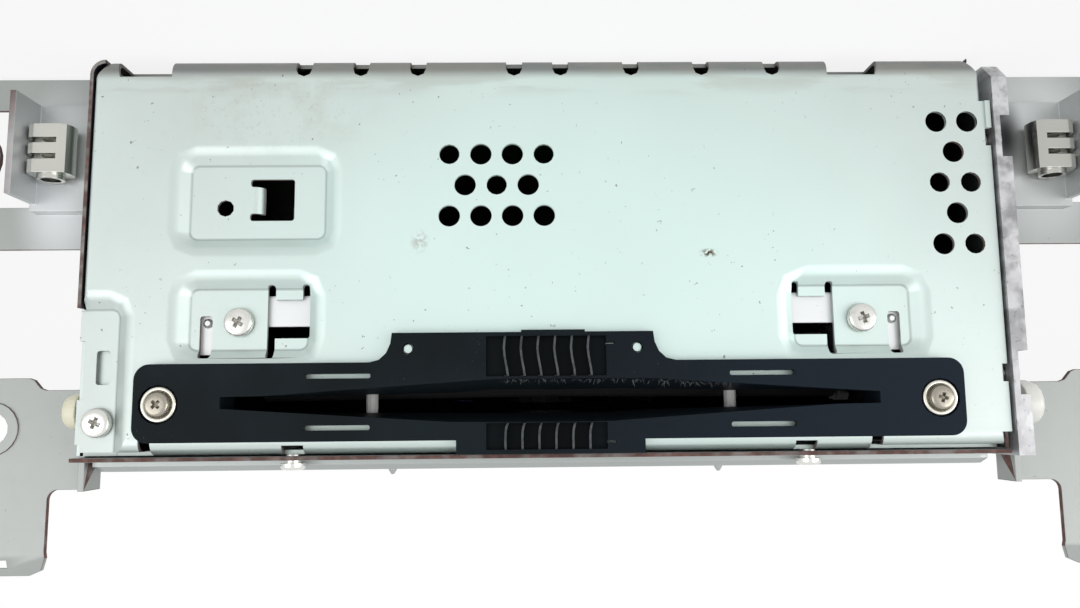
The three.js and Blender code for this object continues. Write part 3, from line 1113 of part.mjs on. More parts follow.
// One bracket, drawn for the +X side: "base" is its side plate's inner face, "shift" moves the ears outwards.
// The ears' reaches are measured from the right bracket's side plate.
function bracket(base, shift) {
  const out = (reach) => RIGHT_BRACKET_X + shift + reach;
  const plate = box(base, base + BRACKET_SHEET, EAR_Y, EAR_Y + BRACKET_LENGTH,
    LOWER_EAR_BOTTOM, BRACKET_PLATE_TOP);
  const ear = (outline) => extrude("XZ", outline, EAR_Y, EAR_Y + BRACKET_SHEET);
  const upper = new THREE.Shape();
  upper.moveTo(base, EAR_SHELF_Z);
  const [stepStart, stepEnd] = [out(EAR_STEP), out(EAR_STEP + EAR_STEP_WIDTH)];
  const stepMiddle = (stepStart + stepEnd) / 2;
  upper.lineTo(stepStart, EAR_SHELF_Z);
  upper.bezierCurveTo(stepMiddle, EAR_SHELF_Z, stepMiddle, EAR_BOTTOM, stepEnd, EAR_BOTTOM);
  upper.lineTo(out(EAR_OUTER), EAR_BOTTOM);
  upper.lineTo(out(EAR_OUTER), EAR_CREASE_Z);
  upper.lineTo(out(EAR_INNER), EAR_CREASE_Z);
  upper.lineTo(out(EAR_INNER), EAR_SHOULDER_Z + EAR_FILLET);
  upper.absarc(out(EAR_INNER) - EAR_FILLET, EAR_SHOULDER_Z + EAR_FILLET, EAR_FILLET, 0, -Math.PI / 2, true);
  upper.lineTo(base, EAR_SHOULDER_Z);

  // The tip leans back above the crease and has round corners
  const tipRise = EAR_TIP_Z - EAR_CREASE_Z;
  const lapZ = EAR_CREASE_Z - BRACKET_SHEET / 2;
  const lean = points([EAR_Y, lapZ], [EAR_Y + BRACKET_SHEET, lapZ],
    [EAR_Y + BRACKET_SHEET, EAR_CREASE_Z], [EAR_Y + EAR_TIP_BEND + BRACKET_SHEET, EAR_TIP_Z],
    [EAR_Y + EAR_TIP_BEND, EAR_TIP_Z], [EAR_Y, EAR_CREASE_Z]);
  const tipOutline = roundedRect(out(EAR_INNER), out(EAR_OUTER), EAR_CREASE_Z - tipRise * 2, EAR_TIP_Z,
    EAR_TIP_RADIUS);
  const tip = extrude("YZ", lean, out(EAR_INNER), out(EAR_OUTER))
    .intersect(extrude("XZ", tipOutline, EAR_Y - OVERRUN, EAR_Y + EAR_TIP_BEND + OVERRUN));

  const lower = ear(points([base, LOWER_EAR_BOTTOM], [out(LOWER_EAR_OUTER), LOWER_EAR_BOTTOM],
    [out(LOWER_EAR_OUTER), LOWER_EAR_TOP], [base, LOWER_EAR_TOP]));
  const ring = rod("XZ", out(EAR_HOLE_REACH), EAR_HOLE_Z, EAR_HOLE_RADIUS + EAR_RING_WIDTH,
    EAR_Y - EAR_RING_HEIGHT, EAR_Y + BRACKET_SHEET, LARGE_SIDES);
  const window = cut(
    box(out(LOWER_WINDOW_START), out(LOWER_WINDOW_START + LOWER_WINDOW_WIDTH), EAR_Y - OVERRUN, EAR_Y + OVERRUN,
      LOWER_WINDOW_BOTTOM, LOWER_WINDOW_TOP),
    rod("XZ", out(LOWER_HOLE_REACH), LOWER_HOLE_Z, LOWER_RING_RADIUS,
      EAR_Y - 2 * OVERRUN, EAR_Y + 2 * OVERRUN, LARGE_SIDES));
  const tongue = box(out(LOWER_WINDOW_START) - BRACKET_SHEET, out(LOWER_WINDOW_START), EAR_Y - TONGUE_LENGTH,
    EAR_Y + BRACKET_SHEET, LOWER_WINDOW_BOTTOM, LOWER_WINDOW_TOP);
  // A flap of the side plate stands up beside the cover
  const flap = box(base, base + BRACKET_SHEET, FACE_Y + FLAP_FRONT, FACE_Y + FLAP_REAR, FLAP_BOTTOM, FLAP_TOP);
  // The clip nut's platform is pressed forwards
  const [padLeft, padRight] = [base + PLATFORM_INSET, out(LOWER_WINDOW_START)];
  const hollow = (front, back) => box(padLeft + BRACKET_SHEET, padRight - BRACKET_SHEET, front, back,
    LOWER_WINDOW_BOTTOM + BRACKET_SHEET, PLATFORM_TOP - BRACKET_SHEET);
  const platform = cut(
    box(padLeft, padRight, EAR_Y - PLATFORM_RISE, EAR_Y + BRACKET_SHEET / 2, LOWER_WINDOW_BOTTOM, PLATFORM_TOP),
    hollow(EAR_Y - PLATFORM_RISE + BRACKET_SHEET, EAR_Y + OVERRUN));
  const behind = hollow(EAR_Y - BRACKET_SHEET / 2, EAR_Y + 2 * OVERRUN);

  const hole = (x, z) => rod("XZ", x, z, EAR_HOLE_RADIUS, EAR_Y - OVERRUN, EAR_Y + OVERRUN, ROUND_SIDES);
  const slotX = (out(EAR_INNER) + out(EAR_OUTER)) / 2;
  const slotZ = EAR_CREASE_Z + tipRise / 2;
  let whole = join(plate, ear(upper), tip, cut(lower, window, behind), tongue, flap, platform, ring);
  whole = cut(whole, hole(out(EAR_HOLE_REACH), EAR_HOLE_Z), hole(out(LOWER_HOLE_REACH), LOWER_HOLE_Z),
    box(slotX - TIP_SLOT_LENGTH / 2, slotX + TIP_SLOT_LENGTH / 2, EAR_Y - OVERRUN,
      EAR_Y + EAR_TIP_BEND + OVERRUN, slotZ - TIP_SLOT_HEIGHT / 2, slotZ + TIP_SLOT_HEIGHT / 2));
  for (const z of [BRACKET_SCREW_LOW, BRACKET_SCREW_HIGH]) {
    whole = cut(whole, rod("YZ", BRACKET_SCREW_Y, z, FACE_SCREW_RADIUS + GAP,
      base - OVERRUN, base + OVERRUN));
  }
  // Between the ears the side plate is cut back to leave the heat path and the buttons free
  return cut(whole, box(base - OVERRUN, base + OVERRUN, EAR_Y - EAR_SETBACK, EAR_Y + BRACKET_NOTCH_LENGTH,
    LOWER_EAR_TOP, EAR_SHELF_Z));
}

// A folded spring clip in the corner of the tongue, drawn for the +X side
function clipNut(shift) {
  const right = RIGHT_BRACKET_X + shift + LOWER_WINDOW_START - BRACKET_SHEET - GAP;
  const left = right - CLIP_WIDTH;
  const back = EAR_Y - PLATFORM_RISE - GAP;
  const [low, high] = [CLIP_Z - CLIP_HEIGHT / 2, CLIP_Z + CLIP_HEIGHT / 2];
  const middle = (left + right) / 2;
  let clip = join(
    extrude("XY", roundedRect(left, right, back - CLIP_DEPTH, back, CLIP_ROUND), low, high),
    rod("XY", middle, back - CLIP_DEPTH / 2, CLIP_TUBE_RADIUS, high - CLIP_TUBE_LENGTH,
      high + CLIP_TUBE_LENGTH, ROUND_SIDES));
  for (const share of [1 / 3, 2 / 3]) {
    const z = low + share * CLIP_HEIGHT;
    clip = cut(clip, box(left + (CLIP_WIDTH - CLIP_SLOT_DEPTH), right + OVERRUN, back - CLIP_DEPTH - OVERRUN,
      back - CLIP_DEPTH / 3, z - CLIP_SLOT_HEIGHT / 2, z + CLIP_SLOT_HEIGHT / 2));
  }
  return cut(clip, rod("XY", middle, back - CLIP_DEPTH / 2, CLIP_BORE_RADIUS,
    low - OVERRUN, high + CLIP_TUBE_LENGTH + OVERRUN));
}

// A round plastic button on the case's side
function guideButton(side, base, radius, height) {
  return loft("YZ", BUTTON_RING_SHARES.map(([radiusShare, heightShare]) => ({
    at: side * (base + heightShare * height),
    outline: circle(FACE_Y + BUTTON_SETBACK, BUTTON_Z, radiusShare * radius, ROUND_SIDES),
  })));
}

function mainBoard() {
  return box(-BOARD_WIDTH / 2, BOARD_WIDTH / 2, BOARD_Y - BOARD_DEPTH / 2, BOARD_Y + BOARD_DEPTH / 2,
    BOARD_Z, BOARD_TOP);
}

function harnessConnector() {
  const [left, right] = [CONNECTOR_X - CONNECTOR_WIDTH / 2, CONNECTOR_X + CONNECTOR_WIDTH / 2];
  const low = BOARD_TOP + GAP;
  const high = low + CONNECTOR_HEIGHT;
  const front = REAR_Y + CONNECTOR_OUT - CONNECTOR_DEPTH;
  const shell = box(left, right, front, REAR_Y + CONNECTOR_OUT, low, high);
  const flange = box(left - CONNECTOR_FLANGE, right + CONNECTOR_FLANGE, front, REAR_Y - SHEET - GAP,
    low, high + CONNECTOR_FLANGE);
  const socket = box(left + CONNECTOR_WALL, right - CONNECTOR_WALL, front + CONNECTOR_WALL * 2,
    REAR_Y + CONNECTOR_OUT + OVERRUN, low + CONNECTOR_WALL, high - CONNECTOR_WALL);
  return cut(join(shell, flange), socket);
}

function antennaSocket() {
  const turning = (radius, from, to) => rod("XZ", ANTENNA_X, ANTENNA_Z, radius, from, to, ROUND_SIDES);
  const barrel = turning(ANTENNA_RADIUS, REAR_Y - ANTENNA_IN, REAR_Y + ANTENNA_OUT);
  const flange = turning(ANTENNA_FLANGE_RADIUS, REAR_Y + GAP, REAR_Y + GAP + ANTENNA_FLANGE);
  const bore = turning(ANTENNA_BORE, REAR_Y - ANTENNA_IN / 2, REAR_Y + ANTENNA_OUT + OVERRUN);
  return cut(join(barrel, flange), bore);
}

// The flat cable from the board up to the deck, as a band with one bend
function flatCable() {
  const low = BOARD_TOP + GAP;
  const high = DECK_FLOOR_Z - GAP;
  const middle = (low + high) / 2;
  const quarter = FLEX_BULGE * FLEX_QUARTER_SHARE;
  const bend = [[0, low], [quarter, (low + middle) / 2], [FLEX_BULGE, middle],
    [quarter, (middle + high) / 2], [0, high]];
  const edge = (offset) => bend.map(([y, z]) => [FLEX_Y + y + offset, z]);
  const outline = points(...edge(FLEX_THICKNESS), ...edge(0).reverse());
  return extrude("YZ", outline, FLEX_X - FLEX_WIDTH / 2, FLEX_X + FLEX_WIDTH / 2);
}

function deckBase() {
  const [left, right] = [DECK_X - DECK_HALF, DECK_X + DECK_HALF];
  const front = DECK_FRONT + DECK_SHEET / 2;
  let base = cut(box(left, right, front, DECK_REAR_Y, DECK_FLOOR_Z, DECK_WALL_TOP),
    box(left + DECK_SHEET, right - DECK_SHEET, front - OVERRUN, DECK_REAR_Y - DECK_SHEET, DECK_FLOOR_TOP,
      DECK_WALL_TOP + OVERRUN));
  for (const side of [1, -1]) {
    const at = (offset) => DECK_X + side * offset;
    // A front flange behind the pad's window, higher behind its screw and slot, with a round dimple
    const flangeLow = DECK_FLOOR_Z + DECK_SHEET / 3;
    const flange = [[at(PAD_WINDOW_NEAR - SHEET), flangeLow], [at(PAD_OUTER_OFFSET), flangeLow],
      [at(PAD_OUTER_OFFSET), PAD_SLOT_TOP - SHEET], [at(PAD_WINDOW_FAR + SHEET), PAD_SLOT_TOP - SHEET],
      [at(PAD_WINDOW_FAR + SHEET), EAR_FLANGE_TOP], [at(PAD_WINDOW_NEAR - SHEET), EAR_FLANGE_TOP]];
    const domeRing = (forward, radius) => ({
      at: DECK_FRONT - forward, outline: circle(at(PAD_SLOT_OFFSET), PAD_SCREW_Z, radius),
    });
    base = join(base, extrude("XZ", points(...flange), DECK_FRONT, DECK_FRONT + DECK_SHEET),
      loft("XZ", [domeRing(TONGUE_DOME_RADIUS / 2, TONGUE_DOME_RADIUS / 2), domeRing(0, TONGUE_DOME_RADIUS),
        domeRing(-DECK_SHEET / 2, TONGUE_DOME_RADIUS)]));
    base = cut(base, rod("XZ", at(PAD_SCREW_OFFSET), PAD_SCREW_Z, FACE_SCREW_RADIUS + GAP,
      DECK_FRONT - OVERRUN, DECK_FRONT + OVERRUN));
  }
  // Rear lugs that reach the rear panel
  for (const side of [1, -1]) {
    const x = DECK_X + side * REAR_LUG_OFFSET;
    base = join(base, box(x - REAR_LUG_WIDTH / 2, x + REAR_LUG_WIDTH / 2, DECK_REAR_Y - DECK_SHEET / 2,
      REAR_Y - SHEET - GAP, DECK_FLOOR_Z + DECK_SHEET / 4, DECK_FLOOR_TOP - DECK_SHEET / 4));
  }
  // Round holes for the roller's shaft, and the idler's post
  const shaftHole = rod("YZ", ROLLER_Y, ROLLER_Z, ROLLER_SHAFT_RADIUS + SHAFT_CLEARANCE,
    left - OVERRUN, right + OVERRUN);
  const post = rod("YZ", IDLER.y, IDLER.z, IDLER_POST_RADIUS, left + DECK_SHEET / 2, GEAR_X + GEAR_WIDTH + GAP);
  return join(cut(base, shaftHole), post);
}

function discGuide() {
  const [left, right] = [DECK_X - DECK_HALF, DECK_X + DECK_HALF];
  let guide = box(left, right, GUIDE_FRONT_Y, DECK_REAR_Y, GUIDE_Z, GUIDE_TOP);
  for (const side of [1, -1]) {
    const near = ARM_WIDTH / 2 + GAP;
    const ends = [DECK_X + side * near, DECK_X + side * (near + ARM_SHEET * 2)].sort((a, b) => a - b);
    guide = join(guide, box(...ends, ARM_HINGE_Y - HINGE_EAR_LENGTH / 2, ARM_HINGE_Y + HINGE_EAR_LENGTH / 2,
      GUIDE_TOP - GUIDE_THICKNESS / 2, GUIDE_TOP + HINGE_EAR_HEIGHT));
    guide = cut(guide, rod("XY", DECK_X + side * SENSOR_PIVOT_OFFSET, SENSOR_PIVOT_Y,
      SENSOR_PIVOT_RADIUS + SHAFT_CLEARANCE, GUIDE_Z - OVERRUN, GUIDE_TOP + OVERRUN));
  }
  return cut(guide,
    rod("XY", DECK_X, SPINDLE_Y, PUCK_RADIUS + PUCK_HOLE_MARGIN,
      GUIDE_Z - OVERRUN, GUIDE_TOP + OVERRUN, LARGE_SIDES),
    rod("YZ", ARM_HINGE_Y, ARM_HINGE_Z, ARM_PIN_RADIUS + SHAFT_CLEARANCE,
      DECK_X - ARM_WIDTH, DECK_X + ARM_WIDTH));
}

function traversePlate() {
  let plate = box(TRAVERSE_LEFT, TRAVERSE_RIGHT, TRAVERSE_FRONT, TRAVERSE_REAR, TRAVERSE_Z, TRAVERSE_TOP);
  for (const offset of [-ROD_OFFSET, ROD_OFFSET]) {
    const y = SPINDLE_Y + offset;
    for (const x of [RODS_START_X, RODS_END_X - ROD_TAB_THICKNESS]) {
      plate = join(plate, box(x, x + ROD_TAB_THICKNESS, y - ROD_TAB_WIDTH / 2, y + ROD_TAB_WIDTH / 2,
        TRAVERSE_TOP - TRAVERSE_SHEET / 2, TRAVERSE_TOP + ROD_TAB_HEIGHT));
    }
    plate = cut(plate, rod("YZ", y, ROD_Z, ROD_RADIUS + SHAFT_CLEARANCE,
      RODS_START_X - OVERRUN, RODS_END_X + OVERRUN));
  }
  for (const [x, y] of DAMPER_PLACES) {
    plate = cut(plate, rod("XY", x, y, DAMPER_WAIST_RADIUS + GAP,
      TRAVERSE_Z - OVERRUN, TRAVERSE_TOP + OVERRUN));
  }
  return plate;
}

// A rubber damper with a groove that the traverse plate sits in
function damper(x, y) {
  const low = DECK_FLOOR_TOP + GAP;
  const top = TRAVERSE_TOP + GAP + TRAVERSE_SHEET;
  const [grooveLow, grooveHigh] = [TRAVERSE_Z - GAP, TRAVERSE_TOP + GAP];
  return turned(x, y, [[0, low], [DAMPER_RADIUS, low], [DAMPER_RADIUS, grooveLow],
    [DAMPER_WAIST_RADIUS, grooveLow], [DAMPER_WAIST_RADIUS, grooveHigh], [DAMPER_RADIUS, grooveHigh],
    [DAMPER_WAIST_RADIUS, top], [0, top]]);
}

function spindleMotor() {
  const low = TRAVERSE_TOP + GAP;
  const top = DISC_Z - TURNTABLE_THICKNESS - GAP - TURNTABLE_AIR;
  return turned(DECK_X, SPINDLE_Y, [[0, low], [SPINDLE_MOTOR_RADIUS, low], [SPINDLE_MOTOR_RADIUS, top],
    [SPINDLE_SHAFT_RADIUS, top], [SPINDLE_SHAFT_RADIUS, DISC_Z], [0, DISC_Z]]);
}

function turntable() {
  const low = DISC_Z - TURNTABLE_THICKNESS - GAP;
  const rim = DISC_Z - GAP;
  const top = rim + SPINDLE_CONE_HEIGHT;
  const bore = SPINDLE_SHAFT_RADIUS + SHAFT_CLEARANCE;
  const ceiling = DISC_Z + GAP;
  return turned(DECK_X, SPINDLE_Y, [[bore, low], [TURNTABLE_RADIUS, low], [TURNTABLE_RADIUS, rim],
    [SPINDLE_CONE_RADIUS, rim], [SPINDLE_CONE_RADIUS - SPINDLE_CONE_HEIGHT, top], [0, top], [0, ceiling],
    [bore, ceiling], [bore, low]], LARGE_SIDES);
}

function clampArm() {
  const low = GUIDE_TOP + ARM_SHEET;
  const front = SPINDLE_Y - ARM_WIDTH / 2;
  const plate = extrude("XY", roundedRect(DECK_X - ARM_WIDTH / 2, DECK_X + ARM_WIDTH / 2, front,
    ARM_HINGE_Y + ARM_PIN_RADIUS, ARM_PIN_RADIUS), low, low + ARM_SHEET);
  const pin = rod("YZ", ARM_HINGE_Y, ARM_HINGE_Z, ARM_PIN_RADIUS, DECK_X - ARM_WIDTH / 2 - ARM_SHEET * 2,
    DECK_X + ARM_WIDTH / 2 + ARM_SHEET * 2);
  return cut(join(plate, pin), rod("XY", DECK_X, SPINDLE_Y, PUCK_NECK_RADIUS + SHAFT_CLEARANCE, low - OVERRUN,
    low + ARM_SHEET + OVERRUN, ROUND_SIDES));
}

// The clamp puck hangs in the arm's hole by its cap
function clampPuck() {
  const armLow = GUIDE_TOP + ARM_SHEET;
  const armTop = armLow + ARM_SHEET;
  const low = DISC_Z + SPINDLE_CONE_HEIGHT + GAP;
  const top = low + PUCK_THICKNESS;
  const cap = armTop + GAP;
  return turned(DECK_X, SPINDLE_Y, [[0, low], [PUCK_RADIUS, low], [PUCK_RADIUS, top], [PUCK_NECK_RADIUS, top],
    [PUCK_NECK_RADIUS, cap], [PUCK_CAP_RADIUS, cap], [PUCK_CAP_RADIUS, cap + PUCK_CAP_THICKNESS],
    [0, cap + PUCK_CAP_THICKNESS]], LARGE_SIDES);
}

function pickupSled() {
  const x = DECK_X + SLED_START_RADIUS;
  const low = TRAVERSE_TOP + GAP * 2;
  const sled = box(x - SLED_HALF_LENGTH, x + SLED_HALF_LENGTH, SPINDLE_Y - SLED_HALF_WIDTH,
    SPINDLE_Y + SLED_HALF_WIDTH, low, low + SLED_HEIGHT);
  const bores = [-ROD_OFFSET, ROD_OFFSET].map((offset) => rod("YZ", SPINDLE_Y + offset, ROD_Z,
    ROD_RADIUS + SHAFT_CLEARANCE, x - SLED_HALF_LENGTH - OVERRUN, x + SLED_HALF_LENGTH + OVERRUN));
  return cut(sled, ...bores);
}

function objectiveLens() {
  const low = TRAVERSE_TOP + GAP * 3 + SLED_HEIGHT;
  const outline = (radius) => circle(DECK_X + SLED_START_RADIUS, SPINDLE_Y, radius, ROUND_SIDES);
  return loft("XY", [{ at: low, outline: outline(LENS_RADIUS) },
    { at: low + LENS_HEIGHT / 2, outline: outline(LENS_RADIUS) },
    { at: low + LENS_HEIGHT, outline: outline(LENS_RADIUS / 2) }]);
}

// One gear tooth outline repeated round a hub; "first" is the angle of the first tooth
function gearOutline(y, z, teeth, first) {
  const pitchRadius = (GEAR_MODULE * teeth) / 2;
  const root = pitchRadius - DEDENDUM_SHARE * GEAR_MODULE;
  const tip = pitchRadius + ADDENDUM_SHARE * GEAR_MODULE;
  const step = (2 * Math.PI) / teeth;
  const outline = [];
  for (let i = 0; i < teeth; i += 1) {
    const centre = first + i * step;
    const corners = [[root, -TOOTH_ROOT_SHARE], [tip, -TOOTH_TIP_SHARE], [tip, TOOTH_TIP_SHARE],
      [root, TOOTH_ROOT_SHARE]];
    for (const [radius, share] of corners) {
      const angle = centre + (share * step) / 2;
      outline.push(new THREE.Vector2(y + radius * Math.cos(angle), z + radius * Math.sin(angle)));
    }
  }
  return outline;
}

const centreDistance = (a, b) => (GEAR_MODULE * (a + b)) / 2 + MESH_CLEARANCE;
const IDLER = { z: IDLER_Z };
IDLER.y = ROLLER_Y + Math.sqrt(centreDistance(ROLLER_TEETH, IDLER_TEETH) ** 2 - (ROLLER_Z - IDLER_Z) ** 2);
const PINION = { z: IDLER_Z - PINION_DROP };
PINION.y = IDLER.y + Math.sqrt(centreDistance(IDLER_TEETH, PINION_TEETH) ** 2 - PINION_DROP ** 2);

// The first-tooth angle that puts a gap of the second gear over the first gear's nearest tooth
function meshPhase(from, to, fromTeeth, toTeeth, fromFirst) {
  const line = Math.atan2(to.z - from.z, to.y - from.y);
  const step = (2 * Math.PI) / fromTeeth;
  const past = (((line - fromFirst) % step) + step) % step;
  const arc = (past * fromTeeth) / toTeeth;
  return line + Math.PI + arc + Math.PI / toTeeth;
}

const ROLLER_AXIS = { y: ROLLER_Y, z: ROLLER_Z };
const ROLLER_PHASE = 0;
const IDLER_PHASE = meshPhase(ROLLER_AXIS, IDLER, ROLLER_TEETH, IDLER_TEETH, ROLLER_PHASE);
const PINION_PHASE = meshPhase(IDLER, PINION, IDLER_TEETH, PINION_TEETH, IDLER_PHASE);

function rollerShaft() {
  const shaft = rod("YZ", ROLLER_Y, ROLLER_Z, ROLLER_SHAFT_RADIUS, DECK_X - DECK_HALF, DECK_X + DECK_HALF);
  const gear = extrude("YZ", gearOutline(ROLLER_Y, ROLLER_Z, ROLLER_TEETH, ROLLER_PHASE),
    GEAR_X, GEAR_X + GEAR_WIDTH);
  return join(shaft, gear);
}

// The rubber roller is a little thinner in the middle, so that it grips a disc by its edges
function loadingRoller() {
  const half = ROLLER_LENGTH / 2;
  const ring = (at, radius) => ({ at, outline: circle(ROLLER_Y, ROLLER_Z, radius, ROUND_SIDES) });
  const tube = loft("YZ", [ring(DECK_X - half, ROLLER_RADIUS), ring(DECK_X, ROLLER_WAIST_RADIUS),
    ring(DECK_X + half, ROLLER_RADIUS)]);
  return cut(tube, rod("YZ", ROLLER_Y, ROLLER_Z, ROLLER_SHAFT_RADIUS + SHAFT_CLEARANCE,
    DECK_X - half - OVERRUN, DECK_X + half + OVERRUN));
}

function idlerGear() {
  const gear = extrude("YZ", gearOutline(IDLER.y, IDLER.z, IDLER_TEETH, IDLER_PHASE),
    GEAR_X, GEAR_X + GEAR_WIDTH);
  return cut(gear, rod("YZ", IDLER.y, IDLER.z, IDLER_POST_RADIUS + SHAFT_CLEARANCE,
    GEAR_X - OVERRUN, GEAR_X + GEAR_WIDTH + OVERRUN));
}

function motorPinion() {
  const gear = extrude("YZ", gearOutline(PINION.y, PINION.z, PINION_TEETH, PINION_PHASE),
    GEAR_X, GEAR_X + GEAR_WIDTH);
  return join(gear, rod("YZ", PINION.y, PINION.z, MOTOR_SHAFT_RADIUS,
    GEAR_X, GEAR_X + GEAR_WIDTH + MOTOR_SHAFT_LENGTH));
}

function loadingMotor() {
  const half = PINION.z - DECK_FLOOR_TOP - MOTOR_FLOOR_GAP;
  const outline = roundedRect(PINION.y - MOTOR_WIDTH / 2, PINION.y + MOTOR_WIDTH / 2,
    PINION.z - half, PINION.z + half, half * MOTOR_ROUND_SHARE);
  const can = extrude("YZ", outline, MOTOR_FACE_X, MOTOR_END_X);
  return cut(can, rod("YZ", PINION.y, PINION.z, MOTOR_SHAFT_RADIUS + SHAFT_CLEARANCE,
    MOTOR_FACE_X - OVERRUN, MOTOR_FACE_X + MOTOR_SHAFT_LENGTH));
}

// A sensor lever under the disc guide: a flat arm, a pin down through the disc's path and a pivot up
function sensorLever(side) {
  const pivot = new THREE.Vector2(DECK_X + side * SENSOR_PIVOT_OFFSET, SENSOR_PIVOT_Y);
  const pin = new THREE.Vector2(DECK_X + side * SENSOR_PIN_OFFSET, SENSOR_PIN_Y);
  const top = GUIDE_Z - GAP;
  const low = top - SENSOR_ARM_THICKNESS;
  const across = pin.clone().sub(pivot).normalize();
  const offset = new THREE.Vector2(-across.y, across.x).multiplyScalar(SENSOR_ARM_WIDTH / 2);
  const taper = (2 * SENSOR_PIN_RADIUS) / SENSOR_ARM_WIDTH;
  const arm = [pivot.clone().sub(offset), pin.clone().addScaledVector(offset, -taper),
    pin.clone().addScaledVector(offset, taper), pivot.clone().add(offset)];
  return join(extrude("XY", arm, low, top),
    rod("XY", pivot.x, pivot.y, SENSOR_ARM_WIDTH / 2 + GAP, low, top, ROUND_SIDES),
    rod("XY", pivot.x, pivot.y, SENSOR_PIVOT_RADIUS, low, GUIDE_TOP),
    rod("XY", pin.x, pin.y, SENSOR_PIN_RADIUS, SENSOR_PIN_BOTTOM, top));
}

// The case and what is fastened to its outside
place("front_plate", frontPlate(), "steel");
place("case_tray", caseTray(), "steel");
place("top_cover", topCover(), "steel");
place("rear_panel", rearPanel(), "steel");
place("heat_sink", heatSink(), "aluminium");
place("slot_bezel", slotBezel(), "black");
place("dust_felt_upper", dustFelt(1), "felt");
place("dust_felt_lower", dustFelt(-1), "felt");

const bothSides = [["right", 1], ["left", -1]];
const padSeat = FACE_Y + RECESS_DEPTH - GAP;
const bezelSeat = BEZEL_FACE + BEZEL_POCKET_DEPTH - WASHER_THICKNESS - 2 * GAP;
const faceScrew = { radius: HEAD_RADIUS, height: HEAD_HEIGHT, length: SCREW_LENGTH };
const bezelScrew = { radius: BEZEL_HEAD_RADIUS, height: HEAD_HEIGHT, length: SCREW_LENGTH };
const coverScrew = { radius: COVER_HEAD_RADIUS, height: HEAD_HEIGHT, length: SHEET + 2 * GAP };
const coverScrewY = FACE_Y + COVER_LEDGE_FRONT / 2;
for (const [name, side] of bothSides) {
  const bezelX = SLOT_X + side * BEZEL_SCREW_OFFSET;
  const padX = DECK_X + side * PAD_SCREW_OFFSET;
  const coverX = SLOT_X + side * COVER_SCREW_OFFSET;
  place(`bezel_washer_${name}`, bezelWasher(bezelX), "screw");
  place(`bezel_screw_${name}`, screw("XZ", bezelX, BEZEL_SCREW_Z, bezelSeat, -1, bezelScrew), "screw");
  place(`deck_screw_${name}`, screw("XZ", padX, PAD_SCREW_Z, padSeat, -1, faceScrew), "screw");
  place(`cover_screw_${name}`, screw("XY", coverX, coverScrewY, LEDGE_Z + SHEET + GAP, 1, coverScrew), "screw");
}
place("corner_screw", screw("XZ", CORNER_SCREW_X, CORNER_SCREW_Z, padSeat, -1, faceScrew), "screw");

const sinkSeat = -(HEAT_SINK_OUTER - HEAT_WINDOW_DEPTH + GAP / 2);
const sinkScrew = { radius: SIDE_HEAD_RADIUS, height: SIDE_HEAD_HEIGHT, length: SIDE_SCREW_LENGTH };
place("heat_sink_screw_lower", screw("YZ", SIDE_SCREW_Y, SIDE_SCREW_LOW, sinkSeat, -1, sinkScrew), "screw");
place("heat_sink_screw_upper", screw("YZ", SIDE_SCREW_Y, SIDE_SCREW_HIGH, sinkSeat, -1, sinkScrew), "screw");

const rightBracket = bracket(RIGHT_BRACKET_X, 0);
const leftBracket = bracket(LEFT_BRACKET_X, BRACKET_LEFT_SHIFT);
const mirrorX = [-1, 0, 0];
place("bracket_right", rightBracket, "bracketSteel");
place("bracket_left", leftBracket.mirror(mirrorX), "bracketSteel");
place("clip_nut_right", clipNut(0), "clip");
place("clip_nut_left", clipNut(BRACKET_LEFT_SHIFT).mirror(mirrorX), "clip");
const rightButton = guideButton(1, RIGHT_BRACKET_X, RIGHT_BUTTON_RADIUS, RIGHT_BUTTON_HEIGHT);
const leftButton = guideButton(-1, LEFT_BRACKET_X, LEFT_BUTTON_RADIUS, LEFT_BUTTON_HEIGHT);
place("guide_button_right", rightButton, "cream");
place("guide_button_left", leftButton, "cream");

for (const [name, side] of bothSides) {
  const base = side > 0 ? RIGHT_BRACKET_X : LEFT_BRACKET_X;
  const reach = base + BRACKET_SHEET + GAP;
  const sizes = { radius: HEAD_RADIUS, height: SIDE_HEAD_HEIGHT, length: reach - WALL_INNER + SHEET };
  for (const [level, z] of [["lower", BRACKET_SCREW_LOW], ["upper", BRACKET_SCREW_HIGH]]) {
    const fastener = screw("YZ", BRACKET_SCREW_Y, z, side * reach, side, sizes);
    place(`bracket_screw_${name}_${level}`, fastener, "screw");
  }
}

// Electronics on the floor
place("main_board", mainBoard(), "board");
const onBoard = BOARD_TOP + GAP;
place("power_amplifier", box(-WALL_INNER + GAP, -WALL_INNER + GAP + AMPLIFIER_THICKNESS, -AMPLIFIER_LENGTH / 2,
  AMPLIFIER_LENGTH / 2, onBoard, onBoard + AMPLIFIER_HEIGHT), "dark");
place("tuner_module", box(TUNER_X - TUNER_WIDTH / 2, TUNER_X + TUNER_WIDTH / 2, TUNER_Y - TUNER_DEPTH / 2,
  TUNER_Y + TUNER_DEPTH / 2, onBoard, onBoard + TUNER_HEIGHT), "deckSteel");
place("power_capacitor", rod("XY", CAPACITOR_X, CAPACITOR_Y, CAPACITOR_RADIUS, onBoard,
  onBoard + CAPACITOR_HEIGHT, ROUND_SIDES), "dark");
place("harness_connector", harnessConnector(), "black");
place("antenna_socket", antennaSocket(), "clip");
place("flat_cable", flatCable(), "flex");

